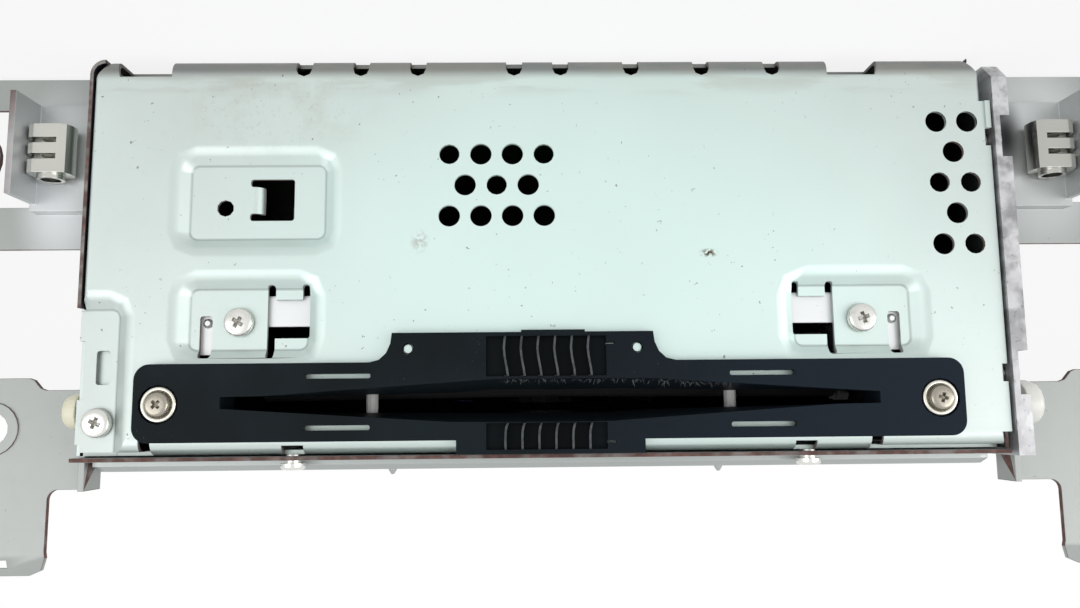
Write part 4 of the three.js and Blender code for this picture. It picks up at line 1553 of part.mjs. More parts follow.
// The deck
place("deck_base", deckBase(), "deckSteel");
place("disc_guide", discGuide(), "deckSteel");
place("traverse_plate", traversePlate(), "deckSteel");
DAMPER_PLACES.forEach(([x, y], i) => place(`damper_${i + 1}`, damper(x, y), "rubber"));
place("spindle_motor", spindleMotor(), "aluminium");
place("turntable", turntable(), "black");
place("clamp_arm", clampArm(), "deckSteel");
place("clamp_puck", clampPuck(), "dark");
place("pickup_sled", pickupSled(), "dark");
place("objective_lens", objectiveLens(), "lens");
const screwY = SPINDLE_Y + ROD_OFFSET;
place("guide_rod", rod("YZ", SPINDLE_Y - ROD_OFFSET, ROD_Z, ROD_RADIUS, RODS_START_X, RODS_END_X), "screw");
place("lead_screw", rod("YZ", screwY, ROD_Z, ROD_RADIUS, SLED_MOTOR_RIGHT + GAP, RODS_END_X), "screw");
place("sled_motor", rod("YZ", screwY, ROD_Z, SLED_MOTOR_RADIUS, SLED_MOTOR_LEFT, SLED_MOTOR_RIGHT, ROUND_SIDES),
  "aluminium");
place("roller_shaft", rollerShaft(), "screw");
place("loading_roller", loadingRoller(), "rubber");
place("idler_gear", idlerGear(), "acetal");
place("motor_pinion", motorPinion(), "acetal");
place("loading_motor", loadingMotor(), "aluminium");
place("sensor_lever_right", sensorLever(1), "acetal");
place("sensor_lever_left", sensorLever(-1), "acetal");

export default group;
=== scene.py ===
"""Car CD radio: the finish of its case, slot bezel, brackets and screws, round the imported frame"""
from math import cos, hypot, pi, radians, sin

import bmesh
import bpy
from bpy.props import FloatProperty, FloatVectorProperty, IntProperty, PointerProperty
from mathutils import Matrix, Vector


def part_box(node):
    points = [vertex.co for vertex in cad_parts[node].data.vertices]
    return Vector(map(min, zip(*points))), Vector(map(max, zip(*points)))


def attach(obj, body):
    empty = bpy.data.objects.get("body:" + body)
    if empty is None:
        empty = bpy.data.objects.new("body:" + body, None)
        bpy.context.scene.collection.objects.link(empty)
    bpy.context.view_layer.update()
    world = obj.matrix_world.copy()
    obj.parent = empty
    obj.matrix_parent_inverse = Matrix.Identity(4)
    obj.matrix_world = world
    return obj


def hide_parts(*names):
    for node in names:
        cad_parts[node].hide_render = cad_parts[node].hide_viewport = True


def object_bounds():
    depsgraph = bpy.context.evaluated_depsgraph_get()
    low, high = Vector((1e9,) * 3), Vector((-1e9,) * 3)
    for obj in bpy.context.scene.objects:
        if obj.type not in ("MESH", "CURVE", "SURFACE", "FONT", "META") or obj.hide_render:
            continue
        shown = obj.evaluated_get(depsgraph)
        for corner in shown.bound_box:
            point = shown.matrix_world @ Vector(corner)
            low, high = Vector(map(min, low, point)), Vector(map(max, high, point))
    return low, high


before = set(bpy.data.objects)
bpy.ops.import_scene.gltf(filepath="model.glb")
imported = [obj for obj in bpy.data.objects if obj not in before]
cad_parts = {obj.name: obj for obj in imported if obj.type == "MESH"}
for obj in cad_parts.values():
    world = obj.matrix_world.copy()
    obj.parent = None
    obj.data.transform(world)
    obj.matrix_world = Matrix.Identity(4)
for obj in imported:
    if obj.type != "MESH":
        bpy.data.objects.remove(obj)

bl_info = {
    "name": "Car CD Radio",
    "version": (1, 0, 0),
    "blender": (4, 5, 0),
    "location": "3D View > Sidebar > CD Radio",
    "description": "Dresses a slot-loading car CD radio and sets its stage",
    "category": "Object",
}

MM = 0.001
CAD_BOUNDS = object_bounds()
CHASSIS = "chassis"

# Places read from the frame, in metres
PLATE_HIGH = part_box("front_plate")[1]
COVER_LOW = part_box("top_cover")[0]

# Where the flat faces of the front plate, of the bezel and of the ears lie along Y
FACE_Y = -79 * MM
BEZEL_FACE = -81.3 * MM
EAR_Y = -69 * MM

# The camera, fitted to the vents, pads, bezel and edges of the photograph
CAMERA_TILT = radians(7.28)
CAMERA_YAW = radians(0.98)
CAMERA_ROLL = radians(0.552)
CAMERA_AIM = Vector((0.55, -79, 49.35)) * MM
CAMERA_DISTANCE = 172.5 * MM
CAMERA_LENS = 30
CAMERA_SENSOR = 36

# The stage: each lamp's place and size in metres and its power in watts; the world's and the floor's share
LAMP_TARGET = (0, -0.079, 0.04)
LAMPS = {
    "key_light": ((-0.85, -0.9, 0.3), 0.8, 4.2),
    "fill_light": ((0.7, -0.95, 0.25), 0.9, 3.8),
    "rim_light": ((-1.1, -0.42, 0.0), 0.5, 2.6),
}
WORLD_LIGHT = 0.5
FLOOR_GLOW = 0.86
FLOOR_HALF = 3.0

# How a CAD mesh becomes a finished one
MERGE_DISTANCE = 0.002 * MM
FLAT_ANGLE = radians(0.4)
SHARP_ANGLE = radians(41)
ROUND_ANGLE = radians(50)
PRESSED_ANGLE = radians(33)

# The front plate's pressed recesses: their floors' ends along X and Z
RECESS_DEPTH = 2 * MM
RECESS_BEVEL = 2.6 * MM
RECESS_RADIUS = 1.5 * MM
RECESSES = {
    "panel": (42.3 * MM, 68.5 * MM, 21.4 * MM, 36 * MM),
    "pad_right": (45.2 * MM, 67.8 * MM, 45.9 * MM, 57.6 * MM),
    "pad_left": (-71.4 * MM, -48.8 * MM, 45.9 * MM, 57.6 * MM),
    "strip": (81.2 * MM, 96 * MM, 49.7 * MM, 88 * MM),
}

# The tongue between the fingers of the panel's window: it bends inwards at its free end
TONGUE_X = (54.2 * MM, 56.3 * MM)
TONGUE_Z = (25.55 * MM, 30.85 * MM)
TONGUE_BEND = 1.9 * MM
TONGUE_TURN = radians(84)
TONGUE_STEPS = 8
TONGUE_ROOM = 2 * MM
PLATE_SHEET = 0.8 * MM
ROLL_HEIGHT = 3.1 * MM
DRILL_DEPTH = 6 * MM

# Which small faces are cut edges of the sheet, brown with rust, and not bends or rolled rims
CUT_AREA = 12 * MM * MM
CUT_DEPTH = 3.7 * MM
CUT_SLOPE = 0.45
BEND_SLOPE = 0.25
SIDE_BEND = 1.4 * MM
FLANGE_X = 85 * MM
TRAY_EDGE = 1.5 * MM
COVER_LEDGE = 0.9 * MM
EAR_EDGE = 1.25 * MM

# Rounding of the felts' edges and of the small mouldings' edges
FELT_EDGE = 0.1 * MM
MOULDED_EDGE = 0.25 * MM

# The bezel's fins: six blades in each of two pockets, below and above the slot
FIN_FIRST_X = 7.1 * MM
FIN_PITCH = 3.13 * MM
FIN_COUNT = 6
FIN_MIDDLES = [FIN_FIRST_X - FIN_PITCH * i for i in range(FIN_COUNT)]
FIN_POCKET = 1.3 * MM
FIN_END_RISE = 0.55
FIN_ROOM = (-11.5 * MM, 10.5 * MM)

# Two small notches beside the pockets: X, Z and half their width and height
NOTCHES = ((-12.6 * MM, 57.1 * MM), (-12.6 * MM, 75.5 * MM))
NOTCH_HALF = (0.8 * MM, 0.2 * MM)

# The lower lip of the slot's mouth, which rises past its flat middle, and the lint on it
LIP_X = (-36 * MM, 8 * MM)
LIP_MIDDLE = -1.5 * MM
LIP_FLAT_HALF = 10.8 * MM
LIP_Z = 63.75 * MM
LIP_SLOPE = 0.046
LINT_SPREAD = ((-1.2 * MM, -0.2 * MM, -0.4 * MM), (1.2 * MM, 0.6 * MM, 0.3 * MM))
LINT_LEAN = ((-0.5, -1.3, -0.8), (0.7, 1.3, 0.8))
LINT_SIZES = (0.3, 1.2)
FIBRE_SIDES = 3
FIBRE_SHAPE = ((0, 0, 0.032 * MM), (0.5, 0.12, 0.026 * MM), (1, 0.42, 0.01 * MM))

# Each row's ends along Z, and how far its fins bow sideways, in millimetres, at shares of their height
FIN_ROWS = {
    "lower_fins": ((55.7 * MM, 63.2 * MM),
                   ((0, 0.08), (0.12, 0.2), (0.3, 0.33), (0.5, 0.2), (0.65, 0.02), (0.82, -0.22), (1, -0.4))),
    "upper_fins": ((71.9 * MM, 76.8 * MM),
                   ((0, -0.35), (0.12, -0.12), (0.3, 0.06), (0.55, 0.12), (0.8, 0.1), (1, 0.08))),
}

# The vents: centre of each field's first hole, and its staggered rows
VENT_PITCH = 6.15 * MM
CENTRE_VENTS = {"x": 18 * MM, "z": 19.7 * MM, "rows": 3, "across": 4, "way": -1}
CORNER_VENTS = {"x": -84.4 * MM, "z": 13.5 * MM, "rows": 5, "across": 2, "way": 1}

# Patches of the finish, among them painted highlights and painted shade: centre and radii in millimetres
SPOTS = {
    # Painted highlights on the brackets beside the clip nuts
    "left_clip": ((-103, -69, 16), (18, 40, 26)),
    "right_clip": ((98, -69, 22), (11, 30, 24)),
    # Painted shade on the bracket in the heat sink's notch
    "sink_notch": ((-95.6, -69, 14.5), (5.4, 12, 11)),
    "middle": ((-10, -79, 40), (95, 30, 60)),
    "strip": ((90, -77, 72), (15, 12, 32)),
    "scuff": ((-32.2, -79, 39.6), (2.2, 3, 1.1)),
    "smudge": ((23.7, -79, 37), (2.2, 3, 2.9)),
    "stain": ((52, -79, 11), (26, 5, 13)),
}

# The disc deck's zinc, brighter than the case's
DECK_ZINC = (0.80, 0.82, 0.82)

# Colours of patches, stains and specks, and of painted highlights, painted sheen and painted shade
TONES = {
    # Painted highlights beside the clip nuts
    "left_clip": (0.70, 0.73, 0.73),
    "right_clip": (0.74, 0.76, 0.78),
    # Painted shade in the heat sink's notch
    "sink_notch": (0.012, 0.012, 0.015),
    # Painted shade on the deck behind its front flanges
    "deck_inside_shade": (0.012, 0.013, 0.017),
    # Painted shade on inner faces
    "inner": (0.03, 0.03, 0.035),
    "middle": (0.71, 0.88, 0.835),
    "strip": (0.50, 0.54, 0.525),
    # Painted shade in the recesses' creases
    "crease_shade": (0.27, 0.31, 0.30),
    "scuff": (0.10, 0.07, 0.04),
    "smudge": (0.38, 0.36, 0.33),
    "stain": (0.42, 0.38, 0.30),
    # Streaky brownish darkening towards the bottom edge
    "low_streaks": (0.36, 0.34, 0.29),
    # Painted shade on the lower rolled rim
    "roll_shade": (0.17, 0.17, 0.165),
    "dust": (0.16, 0.14, 0.11),
    "fleck": (0.13, 0.11, 0.08),
    # Painted sheen: the bezel lighter and bluer towards -X
    "plastic_sheen": (0.0125, 0.020, 0.031),
    "plastic_dust": (0.16, 0.15, 0.14),
    # Painted highlights on the fins' edges
    "edge_highlight": (0.115, 0.125, 0.13),
    "hollow": (0.12, 0.10, 0.075),
}


def colour_prop(name, description, default):
    return FloatVectorProperty(name=name, description=description, subtype="COLOR", size=3, min=0, max=1,
                               default=default)


def length_prop(name, description, default):
    return FloatProperty(name=name, description=description, default=default, min=0, subtype="DISTANCE",
                         unit="LENGTH", precision=5)


class RadioSizes(bpy.types.PropertyGroup):
    """Sizes of the finish: edge rounding, recess rounding, vents, fins and lint"""
    sheet_edge: length_prop("Sheet edge", "Rounding of the sheet metal's edges", 0.13 * MM)
    recess_round: length_prop("Recess rounding", "Rounding of the pressed recesses' rims", 1.25 * MM)
    bezel_edge: length_prop("Bezel edge", "Rounding of the moulded bezel's edges", 0.16 * MM)
    sink_edge: length_prop("Heat sink edge", "Rounding of the heat sink's edges", 0.3 * MM)
    clip_edge: length_prop("Clip edge", "Rounding of the clip nuts' edges", 0.2 * MM)
    vent_radius: length_prop("Vent radius", "Radius of each round vent", 2.1 * MM)
    fin_thickness: length_prop("Fin thickness", "Thickness of the bezel's guide fins", 0.42 * MM)
    fin_proud: length_prop("Fin height", "How far the guide fins stand out of the bezel", 1.35 * MM)
    vent_sides: IntProperty(name="Vent sides", description="Sides of each round vent", default=40, min=12)
    fibre_length: length_prop("Fibre length", "Length of the lint on the slot's lower lip", 1.0 * MM)
    fibre_count: IntProperty(name="Fibre count", description="Fibres of lint on the slot's lower lip",
                             default=170, min=0)


class RadioColours(bpy.types.PropertyGroup):
    """Colours of the finish"""
    zinc: colour_prop("Zinc plate", "Plated sheet steel", (0.625, 0.70, 0.675))
    zinc_dull: colour_prop("Dull zinc", "Plated steel of the brackets", (0.37, 0.39, 0.378))
    raw_edge: colour_prop("Raw edge", "Cut edges of the sheet, dulled by rust", (0.10, 0.045, 0.036))
    plastic: colour_prop("Bezel plastic", "Moulded slot bezel", (0.0062, 0.0096, 0.0118))
    aluminium: colour_prop("Aluminium", "Heat sink plate", (0.48, 0.48, 0.49))
    nickel: colour_prop("Nickel", "Bright screws", (0.74, 0.735, 0.70))
    warm_nickel: colour_prop("Warm nickel", "Clip nuts and washers", (0.60, 0.56, 0.47))
    # The cover's zinc is darker than the case's, as painted shade
    cover: colour_prop("Cover", "Plated steel of the top cover", (0.44, 0.47, 0.46))
    cream: colour_prop("Cream", "Right guide button", (0.88, 0.85, 0.66))
    ivory: colour_prop("Ivory", "Left guide button", (0.88, 0.88, 0.82))


def sizes():
    return bpy.context.scene.radio_sizes


def colours():
    return bpy.context.scene.radio_colours


class Socket:
    """An output socket whose arithmetic adds Math nodes"""

    def __init__(self, graph, output):
        self.graph = graph
        self.output = output

    def __add__(self, other):
        return self.graph.maths("ADD", self, other)

    def __radd__(self, other):
        return self.graph.maths("ADD", other, self)

    def __sub__(self, other):
        return self.graph.maths("SUBTRACT", self, other)

    def __rsub__(self, other):
        return self.graph.maths("SUBTRACT", other, self)

    def __mul__(self, other):
        return self.graph.maths("MULTIPLY", self, other)

    def __rmul__(self, other):
        return self.graph.maths("MULTIPLY", other, self)


class Graph:
    """Adds nodes to a node tree"""

    def __init__(self, tree):
        self.tree = tree

    def add(self, kind, settings=None, values=None, output=0):
        node = self.tree.nodes.new(kind)
        for key, value in (settings or {}).items():
            setattr(node, key, value)
        for key, value in (values or {}).items():
            self.feed(node.inputs[key], value)
        return Socket(self, node.outputs[output])

    def feed(self, socket, value):
        if isinstance(value, Socket):
            self.tree.links.new(value.output, socket)
        else:
            socket.default_value = value

    def maths(self, operation, *values):
        return self.add("ShaderNodeMath", {"operation": operation}, dict(enumerate(values)))

    def vector(self, operation, *values, output=0):
        return self.add("ShaderNodeVectorMath", {"operation": operation}, dict(enumerate(values)), output)


class Surface(Graph):
    """A material on Object coordinates, with constants set on its shader"""

    def __init__(self, name, **constants):
        self.material = bpy.data.materials.new(name)
        self.material.use_nodes = True
        super().__init__(self.material.node_tree)
        self.shader = self.tree.nodes["Principled BSDF"]
        for key, value in constants.items():
            self.shader.inputs[key.replace("_", " ").title().replace("Ior", "IOR")].default_value = value
        self.place = self.add("ShaderNodeTexCoord", output="Object")

    def noise(self, scale, detail=3, stretch=(1, 1, 1)):
        where = self.add("ShaderNodeMapping", {}, {"Vector": self.place, "Scale": stretch})
        return self.add("ShaderNodeTexNoise", {}, {"Vector": where, "Scale": scale, "Detail": detail})

    def step(self, value, low, high):
        return self.add("ShaderNodeMapRange", {"interpolation_type": "SMOOTHSTEP"},
                        {"Value": value, "From Min": low, "From Max": high})

    def patches(self, scale, detail, low, high, stretch=(1, 1, 1)):
        """Noise cut off below low and full above high"""
        return self.step(self.noise(scale, detail, stretch), low, high)

    def lay(self, tone, factor, name):
        """Lays one of the named tones over a tone"""
        return self.mix(factor, tone, TONES[name])

    def mix(self, factor, first, second):
        first, second = [(*c, 1) if isinstance(c, tuple) and len(c) == 3 else c for c in (first, second)]
        return self.add("ShaderNodeMix", {"data_type": "RGBA"}, {0: factor, 6: first, 7: second}, output=2)

    def axis(self, name):
        return self.add("ShaderNodeSeparateXYZ", {}, {0: self.place}, output=name)

    def spot(self, name):
        """1 at the centre of a named spot, falling to 0 at its radii"""
        centre, radii = [Vector(values) * MM for values in SPOTS[name]]
        shares = self.vector("DIVIDE", self.vector("SUBTRACT", self.place, centre), radii)
        return 1 - self.step(self.vector("LENGTH", shares, output="Value"), 0.2, 1)

    def lay_spots(self, tone, **shares):
        """Lays named spots over a tone, each in its own colour"""
        for name, share in shares.items():
            tone = self.lay(tone, self.spot(name) * share, name)
        return tone

    def outline(self, ends, radius):
        """Distance from the outline of an upright rectangle with round corners, drawn across X and Z"""
        x0, x1, z0, z1 = ends
        centre = ((x0 + x1) / 2, 0, (z0 + z1) / 2)
        inner = ((x1 - x0) / 2 - radius, 0, (z1 - z0) / 2 - radius)
        flat = self.vector("MULTIPLY", self.place, (1, 0, 1))
        size = self.vector("ABSOLUTE", self.vector("SUBTRACT", flat, centre))
        outside = self.vector("MAXIMUM", self.vector("SUBTRACT", size, inner), (0, 0, 0))
        return self.maths("ABSOLUTE", self.vector("LENGTH", outside, output="Value") - radius)

    def attribute(self, name):
        return self.add("ShaderNodeAttribute", {"attribute_name": name}, output="Fac")

    def finish(self, colour, roughness, metallic, height, depth):
        """Feeds the shader, with a bump of a depth in metres, and returns the material"""
        for socket, value in (("Base Color", colour), ("Roughness", roughness), ("Metallic", metallic)):
            if value is not None:
                self.feed(self.shader.inputs[socket], value)
        bump = self.add("ShaderNodeBump", {}, {"Strength": 1.0, "Distance": depth, "Height": height})
        self.feed(self.shader.inputs["Normal"], bump)
        return self.material


def scaled(colour, share):
    return tuple(channel * share for channel in colour)


def zinc_finish(name, base, specks=1.0, metallic=0.72, gloss=0.5, overlay=None):
    """Zinc-plated sheet: clouds, rolling lines, specks, brown cut edges, painted shade on inner faces, and a
    given overlay of stains, painted highlights and painted shade
    """
    surface = Surface(name, specular_ior_level=gloss)
    base = tuple(base)
    cloud = surface.noise(26, 4)
    fine = surface.noise(420, 3)
    lines = surface.noise(60, 3, stretch=(0.25, 1, 26))
    tone = surface.mix(surface.step(cloud, 0.3, 0.75), scaled(base, 0.93), base)
    tone = surface.mix(surface.step(lines, 0.6, 0.78) * 0.1, tone, scaled(base, 0.72))
    tone = surface.mix(surface.step(fine, 0.55, 0.8) * 0.12, tone, scaled(base, 0.8))
    dust = surface.patches(1500, 2, 0.735, 0.76) * surface.patches(90, 2, 0.46, 0.62)
    tone = surface.lay(tone, dust * 0.65 * specks, "dust")
    cut = surface.attribute("cut_edge")
    raw = tuple(colours().raw_edge)
    rust = surface.mix(surface.patches(700, 3, 0.4, 0.75), raw, scaled(raw, 1.9))
    bare = surface.patches(190, 3, 0.36, 0.56)
    tone = surface.mix(cut * (0.62 + bare * 0.34), tone, rust)
    # Painted shade on the faces marked inner
    tone = surface.lay(tone, surface.attribute("inner"), "inner")
    if overlay:
        tone = overlay(surface, tone)
    roughness = 0.36 + cloud * 0.12 + fine * 0.05 + cut * 0.3
    height = fine * 0.5 + cloud + lines * 0.25
    return surface.finish(tone, roughness, metallic - cut * 0.5, height, 0.02 * MM)


def bracket_painted_light(surface, tone):
    """Painted highlights on the brackets beside the clip nuts, and painted shade in the heat sink's notch"""
    return surface.lay_spots(tone, left_clip=0.8, right_clip=0.9, sink_notch=1)


def deck_painted_shade(surface, tone):
    """The deck keeps its zinc on its front flanges and takes painted shade behind them"""
    return surface.lay(tone, surface.step(surface.axis("Y"), -68 * MM, -58 * MM), "deck_inside_shade")


def face_marks_and_shade(surface, tone):
    """Lighter and greener over the middle and darker over the corner strip, painted shade in the recesses'
    creases and on the lower rolled rim, a streaky darkening towards the bottom edge, and scuffs, a smudge,
    flecks and a stain
    """
    tone = surface.lay_spots(tone, middle=0.85, strip=0.7)
    floors = surface.step(surface.axis("Y"), FACE_Y + 1.3 * MM, FACE_Y + 1.8 * MM)
    for ends in RECESSES.values():
        # Painted shade along the creases at the recesses' floors
        crease_shade = (1 - surface.step(surface.outline(ends, RECESS_RADIUS), 0.08 * MM, 0.34 * MM)) * floors
        tone = surface.lay(tone, crease_shade * 0.5, "crease_shade")
    ragged = surface.noise(1300, 4)
    tone = surface.lay(tone, surface.spot("scuff") * surface.step(ragged, 0.4, 0.55), "scuff")
    tone = surface.lay(tone, surface.spot("smudge") * surface.step(ragged, 0.4, 0.6) * 0.6, "smudge")
    flecks = surface.patches(980, 2, 0.73, 0.75) * surface.patches(33, 2, 0.42, 0.55)
    tone = surface.lay(tone, flecks * 0.7, "fleck")
    # Painted shade on the lower rolled rim
    tone = surface.lay(tone, surface.step(surface.axis("Z"), 4.6 * MM, 2.2 * MM) * 0.85, "roll_shade")
    # Streaky brownish darkening towards the bottom edge
    low_streaks = surface.step(surface.axis("Z"), 9 * MM, 4.5 * MM) * surface.patches(70, 4, 0.42, 0.62, (1, 1, 6))
    tone = surface.lay(tone, low_streaks * 0.3, "low_streaks")
    mottle = surface.patches(160, 4, 0.42, 0.7) + surface.step(ragged, 0.58, 0.7)
    return surface.lay(tone, surface.spot("stain") * mottle * 0.22, "stain")


def plastic_finish():
    """Moulded plastic with a fine spark-eroded texture and dusty patches, painted highlights on the fins'
    edges, painted shade in the fin pockets and a painted sheen towards -X
    """
    base = tuple(colours().plastic)
    surface = Surface("moulded_black", specular_ior_level=0.08)
    grain = surface.noise(2600, 2)
    cloud = surface.noise(45, 4)
    dust = surface.patches(1700, 2, 0.72, 0.76) * surface.patches(60, 3, 0.5, 0.62)
    tone = surface.mix(surface.step(cloud, 0.35, 0.7), base, scaled(base, 1.6))
    # Painted sheen: the bezel lighter and bluer towards -X
    sheen_side = surface.step(surface.axis("X"), 25 * MM, -85 * MM)
    tone = surface.lay(tone, sheen_side * 0.9, "plastic_sheen")
    tone = surface.lay(tone, dust * 0.35, "plastic_dust")
    # Painted highlights on the fins' edges and the pockets' ends, broken by noise
    edge_highlight = surface.attribute("edge_highlight") * (surface.patches(900, 4, 0.3, 0.62) * 0.5 + 0.5)
    tone = surface.lay(tone, edge_highlight * 0.9, "edge_highlight")
    # Painted shade in the fin pockets
    tone = surface.mix(surface.attribute("pocket_shade") * 0.6, tone, scaled(base, 0.35))
    return surface.finish(tone, 0.36 + cloud * 0.2 + edge_highlight * 0.1, None, grain, 0.012 * MM)


def aluminium_finish():
    """Sawn and dulled aluminium: streaks, scratches and pits, with painted light making it lighter towards
    the top
    """
    base = tuple(colours().aluminium)
    surface = Surface("dull_aluminium", metallic=0.8)
    grain = surface.noise(260, 5, stretch=(1, 0.25, 1))
    blot = surface.patches(110, 4, 0.35, 0.7)
    scratch = surface.patches(240, 3, 0.62, 0.7, (1, 9, 0.5))
    pits = surface.patches(900, 3, 0.6, 0.72)
    tone = surface.mix(surface.step(grain, 0.36, 0.64), scaled(base, 0.6), scaled(base, 1.3))
    # Painted light: lighter towards the top
    bright = surface.step(surface.axis("Z"), 45 * MM, 80 * MM)
    layers = ((bright * 0.5, 1.4), (blot * 0.35, 0.62), (scratch * 0.35, 1.7), (pits * 0.45, 0.28))
    for factor, share in layers:
        tone = surface.mix(factor, tone, scaled(base, share))
    return surface.finish(tone, 0.38 + grain * 0.25, None, grain - pits * 0.8 + scratch * 0.3, 0.05 * MM)


def nickel_finish(name, base, dirt):
    """Bright plated metal, darker in its hollows"""
    base = tuple(base)
    surface = Surface(name, metallic=0.9)
    fine = surface.noise(1500, 3)
    tone = surface.mix(surface.patches(500, 3, 0.55, 0.75) * dirt, base, scaled(base, 0.45))
    hollow = surface.attribute("hollow")
    tone = surface.lay(tone, hollow * surface.step(fine, 0.3, 0.7) * 0.75, "hollow")
    return surface.finish(tone, 0.2 + fine * 0.16 + hollow * 0.3, None, fine, 0.004 * MM)


def plain_finish(name, base, roughness, grain=900, depth=0.01, metallic=0.0, contrast=0.18):
    """A simple moulded or cast surface with a fine grain"""
    surface = Surface(name, metallic=metallic)
    fine = surface.noise(grain, 3)
    cloud = surface.noise(grain / 14, 3)
    tone = surface.mix(cloud, scaled(base, 1 - contrast), scaled(base, 1 + contrast))
    return surface.finish(tone, roughness - 0.06 + fine * 0.12, None, fine, depth * MM)


def felt_finish():
    """Black felt with an upright pile"""
    surface = Surface("black_felt", specular_ior_level=0.15)
    pile = surface.noise(5200, 3, stretch=(1, 1, 0.4))
    tone = surface.mix(pile, (0.0015, 0.0018, 0.0025), (0.008, 0.009, 0.012))
    return surface.finish(tone, 0.95, None, pile, 0.15 * MM)


def board_finish():
    """Green solder mask over copper tracks"""
    surface = Surface("circuit_board", roughness=0.35)
    tracks = surface.add("ShaderNodeTexBrick", {"offset": 0.5},
                         {"Vector": surface.place, "Scale": 220.0, "Mortar Size": 0.03})
    tone = surface.mix(tracks, (0.012, 0.06, 0.02), (0.02, 0.10, 0.035))
    return surface.finish(tone, 0.35 + surface.noise(300) * 0.1, None, tracks, 0.03 * MM)


def link(name, data):
    """A new object in the scene for a mesh, a lamp or a camera"""
    piece = bpy.data.objects.new(name, data)
    bpy.context.scene.collection.objects.link(piece)
    return piece


def mesh_of(work, name):
    """Ends a bmesh in a mesh whose normals point outward"""
    bmesh.ops.recalc_face_normals(work, faces=work.faces)
    mesh = bpy.data.meshes.new(name)
    work.to_mesh(mesh)
    work.free()
    return mesh


def ring(work, sides, radius, height, forward=0):
    """A level ring of vertices about Z, moved along Y"""
    turns = [2 * pi * i / sides for i in range(sides)]
    return [work.verts.new((radius * cos(turn), radius * sin(turn) + forward, height)) for turn in turns]


def skin(work, rings):
    """Joins rings of vertices one after another and closes both ends"""
    count = len(rings[0])
    for low, high in zip(rings, rings[1:]):
        for i in range(count):
            j = (i + 1) % count
            work.faces.new([low[i], low[j], high[j], high[i]])
    work.faces.new(rings[0][::-1])
    work.faces.new(rings[-1])


def settle(piece):
    """Applies the modifiers of a piece and leaves a plain mesh"""
    bpy.context.view_layer.update()
    evaluated = piece.evaluated_get(bpy.context.evaluated_depsgraph_get())
    mesh = bpy.data.meshes.new_from_object(evaluated)
    piece.modifiers.clear()
    piece.data = mesh
    return piece


def modify(piece, kind, **settings):
    """Adds a modifier with its settings and applies it"""
    modifier = piece.modifiers.new(kind.lower(), kind)
    for key, value in settings.items():
        setattr(modifier, key, value)
    return settle(piece)


def merged_copy(node, split=False):
    """A merged copy of a CAD node's mesh, its flat faces whole, or split where they have many sides"""
    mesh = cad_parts[node].data.copy()
    mesh.materials.clear()
    work = bmesh.new()
    work.from_mesh(mesh)
    bmesh.ops.remove_doubles(work, verts=work.verts, dist=MERGE_DISTANCE)
    bmesh.ops.dissolve_limit(work, angle_limit=FLAT_ANGLE, verts=work.verts, edges=work.edges)
    if split:
        bmesh.ops.triangulate(work, faces=[face for face in work.faces if len(face.verts) > 4])
    work.to_mesh(mesh)
    work.free()
    return link("fine_" + node, mesh)


def flat_regions(work):
    """The number of each face's flat region, and the area of every region"""
    limit = cos(FLAT_ANGLE * 1.5)
    region = [-1] * len(work.faces)
    areas = []
    for seed in work.faces:
        if region[seed.index] >= 0:
            continue
        number = region[seed.index] = len(areas)
        total = 0.0
        ahead = [seed]
        while ahead:
            face = ahead.pop()
            total += face.calc_area()
            for edge in face.edges:
                for other in edge.link_faces:
                    if region[other.index] < 0 and other.normal.dot(seed.normal) > limit:
                        region[other.index] = number
                        ahead.append(other)
        areas.append(total)
    return region, areas


def even_normals(mesh, sharp):
    """Gives each corner the normals round its vertex, weighted by the size of their flat regions"""
    work = bmesh.new()
    work.from_mesh(mesh)
    region, areas = flat_regions(work)
    limit = cos(sharp)
    normals = []
    for face in work.faces:
        for corner in face.loops:
            total = Vector((0, 0, 0))
            for other in corner.vert.link_faces:
                if other.normal.dot(face.normal) > limit:
                    total += other.normal * (areas[region[other.index]] / MM ** 2) ** 2
            normals.append(total.normalized() if total.length > 0 else corner.vert.normal.copy())
    work.free()
    mesh.normals_split_custom_set(normals)


def round_edges(piece, width, segments=2, sharp=ROUND_ANGLE):
    """Rounds the sharp edges of a piece, and keeps its flat faces flat in the shading"""
    modify(piece, "BEVEL", width=width, segments=segments, limit_method="ANGLE", angle_limit=SHARP_ANGLE,
           use_clamp_overlap=True, loop_slide=False)
    for face in piece.data.polygons:
        face.use_smooth = True
    even_normals(piece.data, sharp)
    return piece


def mark(piece, name, test):
    """Stores 1 on the faces that pass a test of centre and normal, 0 on the rest"""
    mesh = piece.data
    layer = mesh.attributes.new(name, "FLOAT", "CORNER")
    for face in mesh.polygons:
        value = 1.0 if test(face.center, face.normal, face.area) else 0.0
        for corner in face.loop_indices:
            layer.data[corner].value = value


def stand_for(piece, material, slot, *nodes):
    """Gives a finished piece its material and the chassis as its body, and hides the CAD nodes it stands for,
    if any; the slot argument is not used
    """
    piece.data.materials.clear()
    piece.data.materials.append(material)
    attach(piece, CHASSIS)
    if nodes:
        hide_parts(*nodes)
    return piece


def fine_node(node, width, material, slot, cut_test=None, segments=2, split=False):
    piece = round_edges(merged_copy(node, split), width, segments)
    if cut_test:
        mark(piece, "cut_edge", cut_test)
    return stand_for(piece, material, slot, node)


